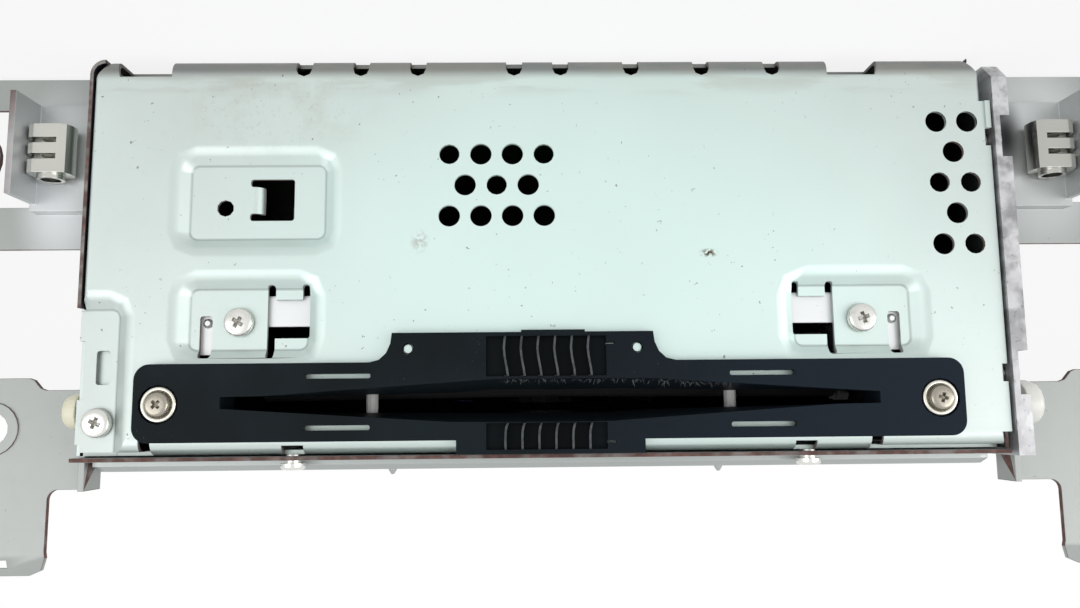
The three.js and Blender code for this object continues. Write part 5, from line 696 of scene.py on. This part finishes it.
def geometry_tree(name, *inputs):
    """A Geometry Nodes tree with named inputs after the geometry, and its Group Input sockets by name"""
    inputs = (("Geometry", "NodeSocketGeometry", None), *inputs)
    tree = bpy.data.node_groups.new(name, "GeometryNodeTree")
    for label, kind, default in inputs:
        item = tree.interface.new_socket(name=label, in_out="INPUT", socket_type=kind)
        if default is not None:
            item.default_value = default
    tree.interface.new_socket(name="Geometry", in_out="OUTPUT", socket_type="NodeSocketGeometry")
    graph = Graph(tree)
    entry = tree.nodes.new("NodeGroupInput")
    given = {label: Socket(graph, entry.outputs[label]) for label, _, _ in inputs}
    return graph, given


def finish_tree(graph, geometry, material):
    """Ends a tree in Realize Instances and Set Material"""
    real = graph.add("GeometryNodeRealizeInstances", {}, {0: geometry})
    dressed = graph.add("GeometryNodeSetMaterial", {}, {"Geometry": real, "Material": material})
    exit_node = graph.tree.nodes.new("NodeGroupOutput")
    graph.feed(exit_node.inputs[0], dressed)


def run_tree(piece, graph, **values):
    """Adds the tree to a piece, sets its inputs by their identifiers and applies it"""
    modifier = piece.modifiers.new(graph.tree.name, "NODES")
    modifier.node_group = graph.tree
    for item in graph.tree.interface.items_tree:
        if item.in_out == "INPUT" and item.name in values:
            modifier[item.identifier] = values[item.name]
    return settle(piece)


def points_object(name, places):
    """A piece with loose points only, for instances"""
    mesh = bpy.data.meshes.new(name)
    mesh.from_pydata([tuple(place) for place in places], [], [])
    return link(name, mesh)


def staggered(field):
    """The centres of a field of vents whose odd rows have one hole less"""
    for row in range(field["rows"]):
        odd = row % 2
        for i in range(field["across"] - odd):
            x = field["x"] + field["way"] * VENT_PITCH * (i + odd / 2)
            yield Vector((x, FACE_Y, field["z"] + VENT_PITCH * row))


def perforate(piece, centres, material):
    """Cuts round holes along Y through a piece"""
    graph, given = geometry_tree(
        "round_holes", ("Centres", "NodeSocketObject", None),
        ("Radius", "NodeSocketFloat", sizes().vent_radius), ("Depth", "NodeSocketFloat", DRILL_DEPTH),
        ("Sides", "NodeSocketInt", sizes().vent_sides))
    centre_points = graph.add("GeometryNodeObjectInfo", {}, {"Object": given["Centres"]}, output="Geometry")
    drill = graph.add("GeometryNodeMeshCylinder", {},
                      {"Vertices": given["Sides"], "Radius": given["Radius"], "Depth": given["Depth"]})
    lying = graph.add("GeometryNodeTransform", {}, {"Geometry": drill, "Rotation": (pi / 2, 0, 0)})
    drills = graph.add("GeometryNodeInstanceOnPoints", {}, {"Points": centre_points, "Instance": lying})
    real = graph.add("GeometryNodeRealizeInstances", {}, {0: drills})
    cut = graph.add("GeometryNodeMeshBoolean", {"operation": "DIFFERENCE"},
                    {"Mesh 1": given["Geometry"], "Mesh 2": real})
    finish_tree(graph, cut, material)
    holes = points_object("hole_centres", centres)
    run_tree(piece, graph, Centres=holes)
    bpy.data.objects.remove(holes)


def from_rim(point, ends):
    """How far a point lies, across X and Z, from the outer rim of the recess with these floor's ends"""
    x0, x1, z0, z1 = ends
    past_x = abs(point.x - (x0 + x1) / 2) - (x1 - x0) / 2 + RECESS_RADIUS
    past_z = abs(point.z - (z0 + z1) / 2) - (z1 - z0) / 2 + RECESS_RADIUS
    return abs(hypot(max(past_x, 0), max(past_z, 0)) - RECESS_RADIUS - RECESS_BEVEL)


def soften_recesses(piece, width):
    """Rounds the outer edges of the pressed recesses widely"""
    mesh = piece.data
    weights = mesh.attributes.new("bevel_weight_edge", "FLOAT", "EDGE")
    near = 0.35 * MM
    for edge in mesh.edges:
        ends_of_edge = [mesh.vertices[i].co for i in edge.vertices]
        for ends in RECESSES.values():
            if all(abs(p.y - FACE_Y) < 0.02 * MM and from_rim(p, ends) < near for p in ends_of_edge):
                weights.data[edge.index].value = 1.0
    modify(piece, "BEVEL", width=width, segments=4, limit_method="WEIGHT", use_clamp_overlap=False,
           loop_slide=True)


def bent_tongue():
    """The free end of the window's tongue, bent inwards round almost a quarter turn"""
    work = bmesh.new()
    start_x = TONGUE_X[1] + 0.02 * MM
    floor = FACE_Y + RECESS_DEPTH
    rows = []
    for i in range(TONGUE_STEPS + 1):
        angle = TONGUE_TURN * i / TONGUE_STEPS
        for radius in (TONGUE_BEND, TONGUE_BEND - PLATE_SHEET):
            x = start_x - radius * sin(angle)
            y = floor + TONGUE_BEND - radius * cos(angle)
            rows.append([work.verts.new((x, y, z)) for z in TONGUE_Z])
    outer, inner = rows[0::2], rows[1::2]
    for i in range(TONGUE_STEPS):
        work.faces.new([outer[i][0], outer[i][1], outer[i + 1][1], outer[i + 1][0]])
        work.faces.new([inner[i][1], inner[i][0], inner[i + 1][0], inner[i + 1][1]])
        for side in (0, 1):
            work.faces.new([outer[i][side], inner[i][side], inner[i + 1][side], outer[i + 1][side]])
    for end_rows in ((outer[0], inner[0]), (outer[-1], inner[-1])):
        work.faces.new([end_rows[0][0], end_rows[0][1], end_rows[1][1], end_rows[1][0]])
    return link("bent_tongue", mesh_of(work, "bent_tongue"))


def join_in(piece, others):
    """Joins other pieces' meshes into one piece's mesh"""
    whole = bmesh.new()
    whole.from_mesh(piece.data)
    for other in others:
        whole.from_mesh(other.data)
        bpy.data.objects.remove(other)
    whole.to_mesh(piece.data)
    whole.free()


def box_object(name, low, high):
    """A box between two corners"""
    work = bmesh.new()
    bmesh.ops.create_cube(work, size=1)
    for vertex in work.verts:
        vertex.co = Vector([low[i] if vertex.co[i] < 0 else high[i] for i in range(3)])
    return link(name, mesh_of(work, name))


def cut_away(piece, cutter, use_self=False):
    """Cuts another object's shape out of a piece and removes that object"""
    modify(piece, "BOOLEAN", operation="DIFFERENCE", solver="EXACT", use_self=use_self, object=cutter)
    bpy.data.objects.remove(cutter)


class MakeFrontPlate(bpy.types.Operator):
    """Make the front plate: soft pressed recesses, round vents, a bent tongue, brown cut edges, and painted
    shade in its creases, on its lower rolled rim and on its flanges' inner faces
    """
    bl_idname = "cdradio.front_plate"
    bl_label = "Front plate"

    def execute(self, context):
        material = zinc_finish("zinc_front", colours().zinc, overlay=face_marks_and_shade)
        piece = merged_copy("front_plate")
        perforate(piece, [*staggered(CENTRE_VENTS), *staggered(CORNER_VENTS)], material)
        floor = FACE_Y + RECESS_DEPTH
        low = (TONGUE_X[0] - TONGUE_ROOM / 4, floor - TONGUE_ROOM / 2, TONGUE_Z[0] - TONGUE_ROOM / 8)
        high = (TONGUE_X[1], floor + TONGUE_ROOM, TONGUE_Z[1] + TONGUE_ROOM / 8)
        cut_away(piece, box_object("tongue_room", low, high))
        join_in(piece, [bent_tongue()])
        soften_recesses(piece, sizes().recess_round)
        round_edges(piece, sizes().sheet_edge, sharp=PRESSED_ANGLE)

        def is_cut(centre, normal, area):
            in_sheet = centre.y < FACE_Y + CUT_DEPTH and abs(normal.y) < CUT_SLOPE and area < CUT_AREA
            lower_roll = centre.z < ROLL_HEIGHT and normal.z < -BEND_SLOPE
            upper_roll = centre.z > PLATE_HIGH.z - ROLL_HEIGHT and normal.z > BEND_SLOPE
            side_bend = abs(centre.x) > PLATE_HIGH.x - SIDE_BEND and abs(normal.x) > BEND_SLOPE
            return in_sheet and not (lower_roll or upper_roll or side_bend)

        # Inner faces of the side flanges, which take painted shade
        def is_inner(centre, normal, area):
            in_flange = abs(centre.x) > FLANGE_X and centre.y > FACE_Y + 0.5 * MM
            return in_flange and normal.x * centre.x < -0.5 * abs(centre.x)

        mark(piece, "cut_edge", is_cut)
        mark(piece, "inner", is_inner)
        stand_for(piece, material, "steel", "front_plate")
        return {"FINISHED"}


class MakeCaseShell(bpy.types.Operator):
    """Make the tray, the cover and the rear panel of plated sheet with brown cut edges, painted shade on the
    tray's inner faces and a darker zinc on the cover as painted shade
    """
    bl_idname = "cdradio.case_shell"
    bl_label = "Case shell"

    def execute(self, context):
        material = zinc_finish("zinc_case", colours().zinc)
        # Painted shade: the cover's zinc darker than the case's
        cover = zinc_finish("zinc_cover", colours().cover)
        edge = sizes().sheet_edge
        front = FACE_Y + TRAY_EDGE
        ledge_top = COVER_LOW.z + COVER_LEDGE
        tray = fine_node("case_tray", edge, material, "steel",
                         lambda centre, normal, area: normal.y < -0.5 and centre.y < front)
        # Painted shade on the tray's inward and upward faces
        mark(tray, "inner", lambda centre, normal, area: normal.x * centre.x < -0.02 or normal.z > 0.7)
        fine_node("top_cover", edge, cover, "steel",
                  lambda centre, normal, area: normal.y < -0.5 and centre.z < ledge_top)
        fine_node("rear_panel", edge, material, "steel", lambda centre, normal, area: abs(normal.y) < 0.5)
        return {"FINISHED"}


class MakeBrackets(bpy.types.Operator):
    """Make both dashboard brackets, a little duller than the case, with painted highlights beside the clip
    nuts and painted shade in the heat sink's notch
    """
    bl_idname = "cdradio.brackets"
    bl_label = "Brackets"

    def execute(self, context):
        material = zinc_finish("zinc_brackets", colours().zinc_dull, 1.6, 0.62, overlay=bracket_painted_light)

        def is_cut(centre, normal, area):
            ear_edge = abs(normal.y) < CUT_SLOPE and EAR_Y - 0.45 * MM < centre.y < EAR_Y + EAR_EDGE
            tongue_edge = normal.y < -0.5 and centre.y < EAR_Y - 11 * MM and centre.z < 45 * MM
            return ear_edge or tongue_edge

        for side in ("right", "left"):
            fine_node("bracket_" + side, sizes().sheet_edge, material, "bracket_steel", is_cut, split=True)
        return {"FINISHED"}


class MakeHeatSink(bpy.types.Operator):
    """Make the thick aluminium plate"""
    bl_idname = "cdradio.heat_sink"
    bl_label = "Heat sink"

    def execute(self, context):
        fine_node("heat_sink", sizes().sink_edge, aluminium_finish(), "aluminium", segments=3)
        return {"FINISHED"}


def repeated(name, places, pattern, material, inputs=(), turn=None, **values):
    """A piece with a copy of the pattern at every place, turned by a function of the tree and its inputs"""
    graph, given = geometry_tree(name, ("Pattern", "NodeSocketObject", None), *inputs)
    shape = graph.add("GeometryNodeObjectInfo", {}, {"Object": given["Pattern"]}, output="Geometry")
    copies = {"Points": given["Geometry"], "Instance": shape}
    if turn:
        copies.update(turn(graph, given))
    finish_tree(graph, graph.add("GeometryNodeInstanceOnPoints", {}, copies), material)
    piece = run_tree(points_object(name, places), graph, Pattern=pattern, **values)
    bpy.data.objects.remove(pattern)
    return piece


def blade(name, ends, bow):
    """One guide fin round x = 0: an upright blade that bows sideways and rounds off at both ends"""
    work = bmesh.new()
    half = sizes().fin_thickness / 2
    back = BEZEL_FACE + FIN_POCKET + 0.1 * MM
    rows = []
    for share, sideways in bow:
        z = ends[0] + share * (ends[1] - ends[0])
        front = BEZEL_FACE - sizes().fin_proud * min(1, FIN_END_RISE + 4 * min(share, 1 - share))
        x = sideways * MM
        rows.append([work.verts.new(place) for place in (
            (x - half, back, z), (x - half, front, z), (x + half, front, z), (x + half, back, z))])
    skin(work, rows)
    return link(name, mesh_of(work, name))


def guide_fins(material):
    """Both rows of fins as plain pieces"""
    places = [(x, 0, 0) for x in FIN_MIDDLES]
    return [repeated(name, places, blade(name + "_pattern", ends, bow), material)
            for name, (ends, bow) in FIN_ROWS.items()]


def fibre(length):
    """One bent fibre of lint: shares of its length upward and outward, and its radius there"""
    work = bmesh.new()
    skin(work, [ring(work, FIBRE_SIDES, radius, up * length, out * length)
                for up, out, radius in FIBRE_SHAPE])
    return link("fibre", mesh_of(work, "fibre"))


def lip_points(count):
    """Points along the lower lip of the slot's mouth, which rises past its flat middle"""
    for i in range(count):
        x = LIP_X[0] + (LIP_X[1] - LIP_X[0]) * i / count
        yield x, BEZEL_FACE + 0.35 * MM, LIP_Z + max(0, abs(x - LIP_MIDDLE) - LIP_FLAT_HALF) * LIP_SLOPE


def scattered(graph, given):
    """Moves each fibre at random along the lip, and leans it this way and that"""
    loose = graph.add("FunctionNodeRandomValue", {"data_type": "FLOAT_VECTOR"},
                      {0: LINT_SPREAD[0], 1: LINT_SPREAD[1], "Seed": given["Seed"]})
    spread = graph.add("GeometryNodeSetPosition", {}, {"Geometry": given["Geometry"], "Offset": loose})
    lean = graph.add("FunctionNodeRandomValue", {"data_type": "FLOAT_VECTOR"},
                     {0: LINT_LEAN[0], 1: LINT_LEAN[1], "Seed": 11})
    size = graph.add("FunctionNodeRandomValue", {"data_type": "FLOAT"},
                     {2: LINT_SIZES[0], 3: LINT_SIZES[1], "Seed": 23}, output=1)
    return {"Points": spread, "Rotation": lean, "Scale": size}


def add_lint():
    """Lays the lint on the slot's lower lip"""
    dust = plain_finish("lint_grey", (0.19, 0.19, 0.185), 0.9, contrast=0.6)
    lint = repeated("slot_lint", lip_points(sizes().fibre_count), fibre(sizes().fibre_length), dust,
                    [("Seed", "NodeSocketInt", 5)], scattered)
    stand_for(lint, dust, "felt")


class MakeBezel(bpy.types.Operator):
    """Make the slot bezel of moulded plastic with its bowed fins, the dust felts and the lint on them"""
    bl_idname = "cdradio.slot_bezel"
    bl_label = "Slot bezel"

    def execute(self, context):
        material = plastic_finish()
        piece = merged_copy("slot_bezel")
        floor = BEZEL_FACE + FIN_POCKET
        pockets = [ends for ends, _ in FIN_ROWS.values()]
        for low, high in pockets:
            start = (FIN_ROOM[0] - 0.3 * MM, BEZEL_FACE - 4 * MM, low + 0.02 * MM)
            end = (FIN_ROOM[1] + 0.3 * MM, floor + 0.02 * MM, high - 0.02 * MM)
            cut_away(piece, box_object("fin_room", start, end))
        for x, z in NOTCHES:
            start = (x - NOTCH_HALF[0], BEZEL_FACE - 1 * MM, z - NOTCH_HALF[1])
            end = (x + NOTCH_HALF[0], FACE_Y - 0.05 * MM, z + NOTCH_HALF[1])
            cut_away(piece, box_object("notch", start, end))
        join_in(piece, guide_fins(material))
        round_edges(piece, sizes().bezel_edge)

        # Faces that take the painted highlights
        def is_highlit(centre, normal, area):
            near_fin = any(-0.35 * MM < centre.x - x < 0.7 * MM for x in FIN_MIDDLES)
            on_fin = near_fin and centre.y < BEZEL_FACE - 0.25 * MM and normal.x > -0.2
            near_end = abs(centre.x - FIN_ROOM[0]) < 0.5 * MM and centre.y < BEZEL_FACE + 0.2 * MM
            on_end = near_end and normal.y > -0.97 and normal.x > 0.2
            return area < 0.9 * MM * MM and (on_fin or on_end)

        # Faces in the fin pockets, which take the painted shade
        def in_pocket(centre, normal, area):
            in_band = any(low - 0.4 * MM < centre.z < high + 0.4 * MM for low, high in pockets)
            across = FIN_ROOM[0] - 0.5 * MM < centre.x < FIN_ROOM[1] + 0.5 * MM
            return in_band and across and centre.y > BEZEL_FACE + 0.3 * MM

        mark(piece, "edge_highlight", is_highlit)
        mark(piece, "pocket_shade", in_pocket)
        stand_for(piece, material, "bezel", "slot_bezel")
        felt = felt_finish()
        for level in ("upper", "lower"):
            fine_node("dust_felt_" + level, FELT_EDGE, felt, "felt")
        add_lint()
        return {"FINISHED"}


# Each kind of screw: its CAD nodes and which way its head faces
SCREW_KINDS = {
    "face": (("deck_screw_right", "deck_screw_left", "corner_screw"), (0, -1, 0)),
    "bezel": (("bezel_screw_right", "bezel_screw_left"), (0, -1, 0)),
    "cover": (("cover_screw_right", "cover_screw_left"), (0, 0, 1)),
    "sink": (("heat_sink_screw_lower", "heat_sink_screw_upper"), (-1, 0, 0)),
    "right_bracket": (("bracket_screw_right_lower", "bracket_screw_right_upper"), (1, 0, 0)),
    "left_bracket": (("bracket_screw_left_lower", "bracket_screw_left_upper"), (-1, 0, 0)),
}

# The heads' outline in shares of radius and height, their heights, and how deep some sit, in millimetres
HEAD_SIDES = 48
HEAD_PROFILE_SHARES = [(1.0, 0.0), (1.0, 0.38), (0.985, 0.56), (0.94, 0.74), (0.86, 0.87), (0.74, 0.95),
                       (0.6, 0.985), (0.0, 1.0)]
HEAD_HEIGHTS = {"face": 1.25, "bezel": 1.0, "cover": 1.3, "sink": 1.5, "right_bracket": 1.15,
                "left_bracket": 1.15}
HEAD_DROPS = {"face": 0.3, "bezel": 0.75}
SHANK_RADIUS = 1.45 * MM
SCREW_SPIN = (0.15, 1.35)

# The cup washer's outline in shares of its radius and thickness
WASHER_PROFILE_SHARES = [(0.5, 0), (1, 0), (1, 0.55), (0.985, 0.8), (0.94, 0.98), (0.86, 1.0), (0.79, 0.9),
                         (0.74, 0.55), (0.7, 0.4), (0.5, 0.4), (0.5, 0)]


def turned_mesh(name, profile, sides):
    """A closed turned mesh about Z; the profile lists (radius, height) from the axis round to the axis"""
    work = bmesh.new()
    rings = []
    for radius, height in profile:
        if radius == 0:
            rings.append([work.verts.new((0, 0, height))])
        else:
            rings.append(ring(work, sides, radius, height))
    for low, high in zip(rings, rings[1:]):
        for i in range(sides):
            j = (i + 1) % sides
            corners = [low[i % len(low)], low[j % len(low)], high[j % len(high)], high[i % len(high)]]
            work.faces.new(list(dict.fromkeys(corners)))
    mesh = mesh_of(work, name)
    for face in mesh.polygons:
        face.use_smooth = True
    return mesh


def cross_cutter(radius, height):
    """The driver recess: two tapered bars and a centre dimple"""
    work = bmesh.new()
    reach = radius * 0.5
    width = radius * 0.15
    deep = height * 0.62
    taper_x, taper_y = 0.45, 0.75
    for turn in (0, pi / 2):
        top = [(reach, width), (-reach, width), (-reach, -width), (reach, -width)]
        spin = Matrix.Rotation(turn, 3, "Z")
        upper = [work.verts.new(spin @ Vector((x, y, height * 1.3))) for x, y in top]
        lower = [work.verts.new(spin @ Vector((x * taper_x, y * taper_y, height - deep))) for x, y in top]
        work.faces.new(upper)
        work.faces.new(lower[::-1])
        for i in range(4):
            work.faces.new([upper[i], lower[i], lower[(i + 1) % 4], upper[(i + 1) % 4]])
    return link("driver_recess", mesh_of(work, "driver_recess"))


def head_object(radius, height, shank, length):
    """One screw with its head's underside at zero height, a round shank below and a cross recess"""
    profile = [(0, -length), (shank, -length)]
    profile += [(shank, 0)] + [(radius * r, height * h) for r, h in HEAD_PROFILE_SHARES]
    screw = link("screw_pattern", turned_mesh("screw_pattern", profile, HEAD_SIDES))
    cut_away(screw, cross_cutter(radius, height), use_self=True)

    def in_hollow(centre, normal, area):
        near_axis = Vector((centre.x, centre.y)).length < radius * 0.52 and centre.z > height * 0.2
        return near_axis and (normal.z < 0.7 or centre.z < height * 0.72)

    mark(screw, "hollow", in_hollow)
    screw.data.set_sharp_from_angle(angle=SHARP_ANGLE)
    return screw


def facing_out(graph, given):
    """Turns each screw to face along a direction, with a seeded spin"""
    upright = graph.add("FunctionNodeAlignRotationToVector", {"axis": "Z"}, {"Vector": given["Facing"]})
    spin = graph.add("FunctionNodeRandomValue", {"data_type": "FLOAT"},
                     {2: SCREW_SPIN[0], 3: SCREW_SPIN[1], "Seed": given["Seed"]}, output=1)
    about = graph.add("ShaderNodeCombineXYZ", {}, {"Z": spin})
    turn = graph.add("FunctionNodeEulerToRotation", {}, {0: about})
    facing = graph.add("FunctionNodeRotateRotation", {"rotation_space": "LOCAL"}, {0: upright, 1: turn})
    return {"Rotation": facing}


def main_axis(facing):
    """0, 1 or 2: the axis that a direction follows"""
    return max(range(3), key=lambda i: abs(facing[i]))


def seated(name, nodes, pattern, material, facing, depth, seed):
    """A piece with the pattern on each CAD node's seat, a depth below the end that the direction points to"""
    axis = main_axis(facing)
    seats = []
    for node in nodes:
        low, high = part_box(node)
        seat = (low + high) / 2
        top = high[axis] if facing[axis] > 0 else low[axis]
        seat[axis] = top - facing[axis] * depth
        seats.append(seat)
    inputs = [("Facing", "NodeSocketVector", (0, 0, 1)), ("Seed", "NodeSocketInt", 3)]
    piece = repeated(name, seats, pattern, material, inputs, facing_out, Facing=facing, Seed=seed)
    stand_for(piece, material, "screw", *nodes)


class MakeScrews(bpy.types.Operator):
    """Make every screw from its CAD seat, size and direction"""
    bl_idname = "cdradio.screws"
    bl_label = "Screws"

    def execute(self, context):
        bright = nickel_finish("bright_nickel", colours().nickel, 0.25)
        warm = nickel_finish("warm_nickel_screw", scaled(colours().warm_nickel, 0.62), 0.5)
        for kind, (nodes, facing) in SCREW_KINDS.items():
            axis = main_axis(facing)
            across = (axis + 1) % 3
            low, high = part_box(nodes[0])
            radius = (high[across] - low[across]) / 2
            depth = high[axis] - low[axis]
            height = HEAD_HEIGHTS[kind] * MM
            material = warm if kind == "bezel" else bright
            pattern = head_object(radius, height, SHANK_RADIUS, depth - height - 0.05 * MM)
            sunk = HEAD_DROPS.get(kind, 0) * MM
            seated(kind + "_screws", nodes, pattern, material, facing, height + sunk, len(kind))
        return {"FINISHED"}


class MakeWashers(bpy.types.Operator):
    """Make the two cup washers under the bezel's screws"""
    bl_idname = "cdradio.washers"
    bl_label = "Cup washers"

    def execute(self, context):
        material = nickel_finish("warm_nickel_washer", (0.76, 0.74, 0.66), 0.2)
        nodes = ("bezel_washer_right", "bezel_washer_left")
        low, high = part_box(nodes[0])
        radius = (high.x - low.x) / 2
        thick = high.y - low.y
        profile = [(r * radius, h * thick) for r, h in WASHER_PROFILE_SHARES]
        pattern = link("washer_pattern", turned_mesh("washer_pattern", profile, HEAD_SIDES))
        seated("cup_washers", nodes, pattern, material, (0, -1, 0), thick, 3)
        return {"FINISHED"}


class MakeClips(bpy.types.Operator):
    """Make the folded spring clips and the cream guide buttons"""
    bl_idname = "cdradio.clips"
    bl_label = "Clips and buttons"

    def execute(self, context):
        clip = plain_finish("clip_nickel", (0.55, 0.55, 0.51), 0.2, grain=260, depth=0.006, metallic=1.0,
                            contrast=0.55)
        cream = plain_finish("cream_plastic", tuple(colours().cream), 0.45, depth=0.03, contrast=0.14)
        ivory = plain_finish("ivory_plastic", tuple(colours().ivory), 0.3, contrast=0.06)
        for side, plastic in (("right", cream), ("left", ivory)):
            fine_node("clip_nut_" + side, sizes().clip_edge, clip, "clip", segments=3, split=True)
            fine_node("guide_button_" + side, MOULDED_EDGE, plastic, "cream", segments=3)
        return {"FINISHED"}


class MakeSockets(bpy.types.Operator):
    """Make the harness connector and the antenna socket at the back"""
    bl_idname = "cdradio.sockets"
    bl_label = "Rear sockets"

    def execute(self, context):
        dark = plain_finish("connector_plastic", (0.02, 0.021, 0.024), 0.5)
        warm = nickel_finish("socket_nickel", colours().warm_nickel, 0.3)
        fine_node("harness_connector", MOULDED_EDGE, dark, "bezel")
        fine_node("antenna_socket", MOULDED_EDGE, warm, "clip")
        return {"FINISHED"}


# Finishes of the pieces inside, by the record's slot, but for the disc guide
INNER_NODES = {
    "deck_steel": ("deck_base", "traverse_plate", "clamp_arm", "tuner_module"),
    "aluminium": ("spindle_motor", "sled_motor", "loading_motor"),
    "screw": ("guide_rod", "lead_screw", "roller_shaft"),
    "acetal": ("idler_gear", "motor_pinion", "sensor_lever_right", "sensor_lever_left"),
    "board": ("main_board",),
    "rubber": ("damper_1", "damper_2", "damper_3", "loading_roller"),
    # The disc guide takes the dark moulding in place of the deck's zinc: black plastic that also stands in
    # for the shade inside the slot
    "dark": ("power_amplifier", "power_capacitor", "clamp_puck", "pickup_sled", "turntable", "disc_guide"),
    "lens": ("objective_lens",),
    "flex": ("flat_cable",),
}


class MakeMechanism(bpy.types.Operator):
    """Finish the disc mechanism and the electronics inside the case"""
    bl_idname = "cdradio.mechanism"
    bl_label = "Disc mechanism"

    def execute(self, context):
        finishes = {
            # The deck's zinc, with painted shade behind its front flanges
            "deck_steel": zinc_finish("deck_zinc", DECK_ZINC, 1.0, 0.8, gloss=0.3, overlay=deck_painted_shade),
            "aluminium": plain_finish("motor_can", (0.62, 0.62, 0.63), 0.35, metallic=0.9),
            "screw": plain_finish("polished_steel", (0.66, 0.66, 0.67), 0.22, metallic=1.0),
            "acetal": plain_finish("white_acetal", (0.76, 0.76, 0.74), 0.4, contrast=0.05),
            "board": board_finish(),
            "rubber": plain_finish("black_rubber", (0.02, 0.02, 0.022), 0.8, depth=0.03),
            "dark": plain_finish("dark_moulding", (0.028, 0.028, 0.032), 0.5),
            "lens": plain_finish("coated_lens", (0.10, 0.14, 0.32), 0.08),
            "flex": plain_finish("amber_film", (0.58, 0.40, 0.10), 0.4),
        }
        for slot, nodes in INNER_NODES.items():
            for node in nodes:
                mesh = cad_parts[node].data
                mesh.materials.clear()
                mesh.materials.append(finishes[slot])
        return {"FINISHED"}


def camera():
    """The photograph's camera: tilted down, turned a little and rolled by half a turn"""
    turn = Matrix.Rotation(CAMERA_YAW, 3, "Z")
    axis = turn @ Vector((0, cos(CAMERA_TILT), -sin(CAMERA_TILT)))
    right = turn @ Vector((-1, 0, 0))
    up = turn @ Vector((0, -sin(CAMERA_TILT), -cos(CAMERA_TILT)))
    across = cos(CAMERA_ROLL) * right - sin(CAMERA_ROLL) * up
    along = sin(CAMERA_ROLL) * right + cos(CAMERA_ROLL) * up
    data = bpy.data.cameras.new("photo_camera")
    data.lens = CAMERA_LENS
    data.sensor_width = CAMERA_SENSOR
    data.clip_start = 1 * MM
    eye = link("photo_camera", data)
    turned = Matrix((across, along, -axis)).transposed()
    eye.matrix_world = Matrix.Translation(CAMERA_AIM - axis * CAMERA_DISTANCE) @ turned.to_4x4()
    bpy.context.scene.camera = eye


def soft_light(name, place, aim, size, power):
    """A round area lamp, its power in watts"""
    data = bpy.data.lights.new(name, "AREA")
    data.shape = "DISK"
    data.size = size
    data.energy = power
    lamp = link(name, data)
    lamp.location = place
    lamp.rotation_euler = (Vector(aim) - Vector(place)).to_track_quat("-Z", "Y").to_euler()


def seen_directly(graph):
    """1 for camera, glossy and transmission rays"""
    path = graph.tree.nodes.new("ShaderNodeLightPath")
    names = ("Is Camera Ray", "Is Glossy Ray", "Is Transmission Ray")
    rays = [Socket(graph, path.outputs[name]) for name in names]
    return graph.maths("MAXIMUM", graph.maths("MAXIMUM", rays[0], rays[1]), rays[2])


def studio_world():
    """White to the camera and in mirrors, dimmer as a light"""
    world = bpy.data.worlds.new("studio")
    bpy.context.scene.world = world
    world.use_nodes = True
    graph = Graph(world.node_tree)
    background = world.node_tree.nodes["Background"]
    white = seen_directly(graph)
    graph.feed(background.inputs["Strength"], WORLD_LIGHT + white * (1 - WORLD_LIGHT))
    background.inputs["Color"].default_value = (1, 1, 1, 1)


def studio_floor():
    """A pale floor that glows a little to the camera and keeps the shadow"""
    mesh = bpy.data.meshes.new("studio_floor")
    low = CAD_BOUNDS[0][2] - 0.05 * MM
    half = FLOOR_HALF
    mesh.from_pydata([(-half, -half, low), (half, -half, low), (half, half, low), (-half, half, low)], [],
                     [(0, 1, 2, 3)])
    floor = link("studio_floor", mesh)
    material = bpy.data.materials.new("pale_floor")
    material.use_nodes = True
    graph = Graph(material.node_tree)
    shader = graph.tree.nodes["Principled BSDF"]
    shader.inputs["Base Color"].default_value = (0.86, 0.86, 0.86, 1)
    shader.inputs["Roughness"].default_value = 0.9
    glow = graph.add("ShaderNodeEmission", {}, {"Strength": 1.0})
    body = Socket(graph, shader.outputs[0])
    mixed = graph.add("ShaderNodeMixShader", {}, {0: seen_directly(graph) * FLOOR_GLOW, 1: body, 2: glow})
    graph.feed(graph.tree.nodes["Material Output"].inputs["Surface"], mixed)
    mesh.materials.append(material)


class SetStage(bpy.types.Operator):
    """Set the camera, the soft lights, the pale floor and the white surroundings"""
    bl_idname = "cdradio.stage"
    bl_label = "Stage"

    def execute(self, context):
        camera()
        studio_world()
        studio_floor()
        for name, (place, size, power) in LAMPS.items():
            soft_light(name, place, LAMP_TARGET, size, power)
        context.scene.view_settings.view_transform = "Standard"
        return {"FINISHED"}


OPERATORS = (SetStage, MakeFrontPlate, MakeCaseShell, MakeBrackets, MakeHeatSink, MakeBezel, MakeScrews,
             MakeWashers, MakeClips, MakeSockets, MakeMechanism)


class RadioPanel(bpy.types.Panel):
    """Lists the pieces of the radio, its sizes and its colours"""
    bl_idname = "VIEW3D_PT_cd_radio"
    bl_label = "CD Radio"
    bl_space_type = "VIEW_3D"
    bl_region_type = "UI"
    bl_category = "CD Radio"

    def draw(self, context):
        for group in (context.scene.radio_sizes, context.scene.radio_colours):
            box = self.layout.box()
            for name in group.bl_rna.properties.keys():
                if name not in ("rna_type", "name"):
                    box.prop(group, name)
        for operator in OPERATORS:
            self.layout.operator(operator.bl_idname)


CLASSES = (RadioSizes, RadioColours, *OPERATORS, RadioPanel)


def register():
    for each in CLASSES:
        bpy.utils.register_class(each)
    bpy.types.Scene.radio_sizes = PointerProperty(type=RadioSizes)
    bpy.types.Scene.radio_colours = PointerProperty(type=RadioColours)


def unregister():
    del bpy.types.Scene.radio_colours
    del bpy.types.Scene.radio_sizes
    for each in reversed(CLASSES):
        bpy.utils.unregister_class(each)


def main():
    register()
    for operator in OPERATORS:
        getattr(bpy.ops.cdradio, operator.bl_idname.split(".")[1])()


if __name__ == "__main__":
    main()
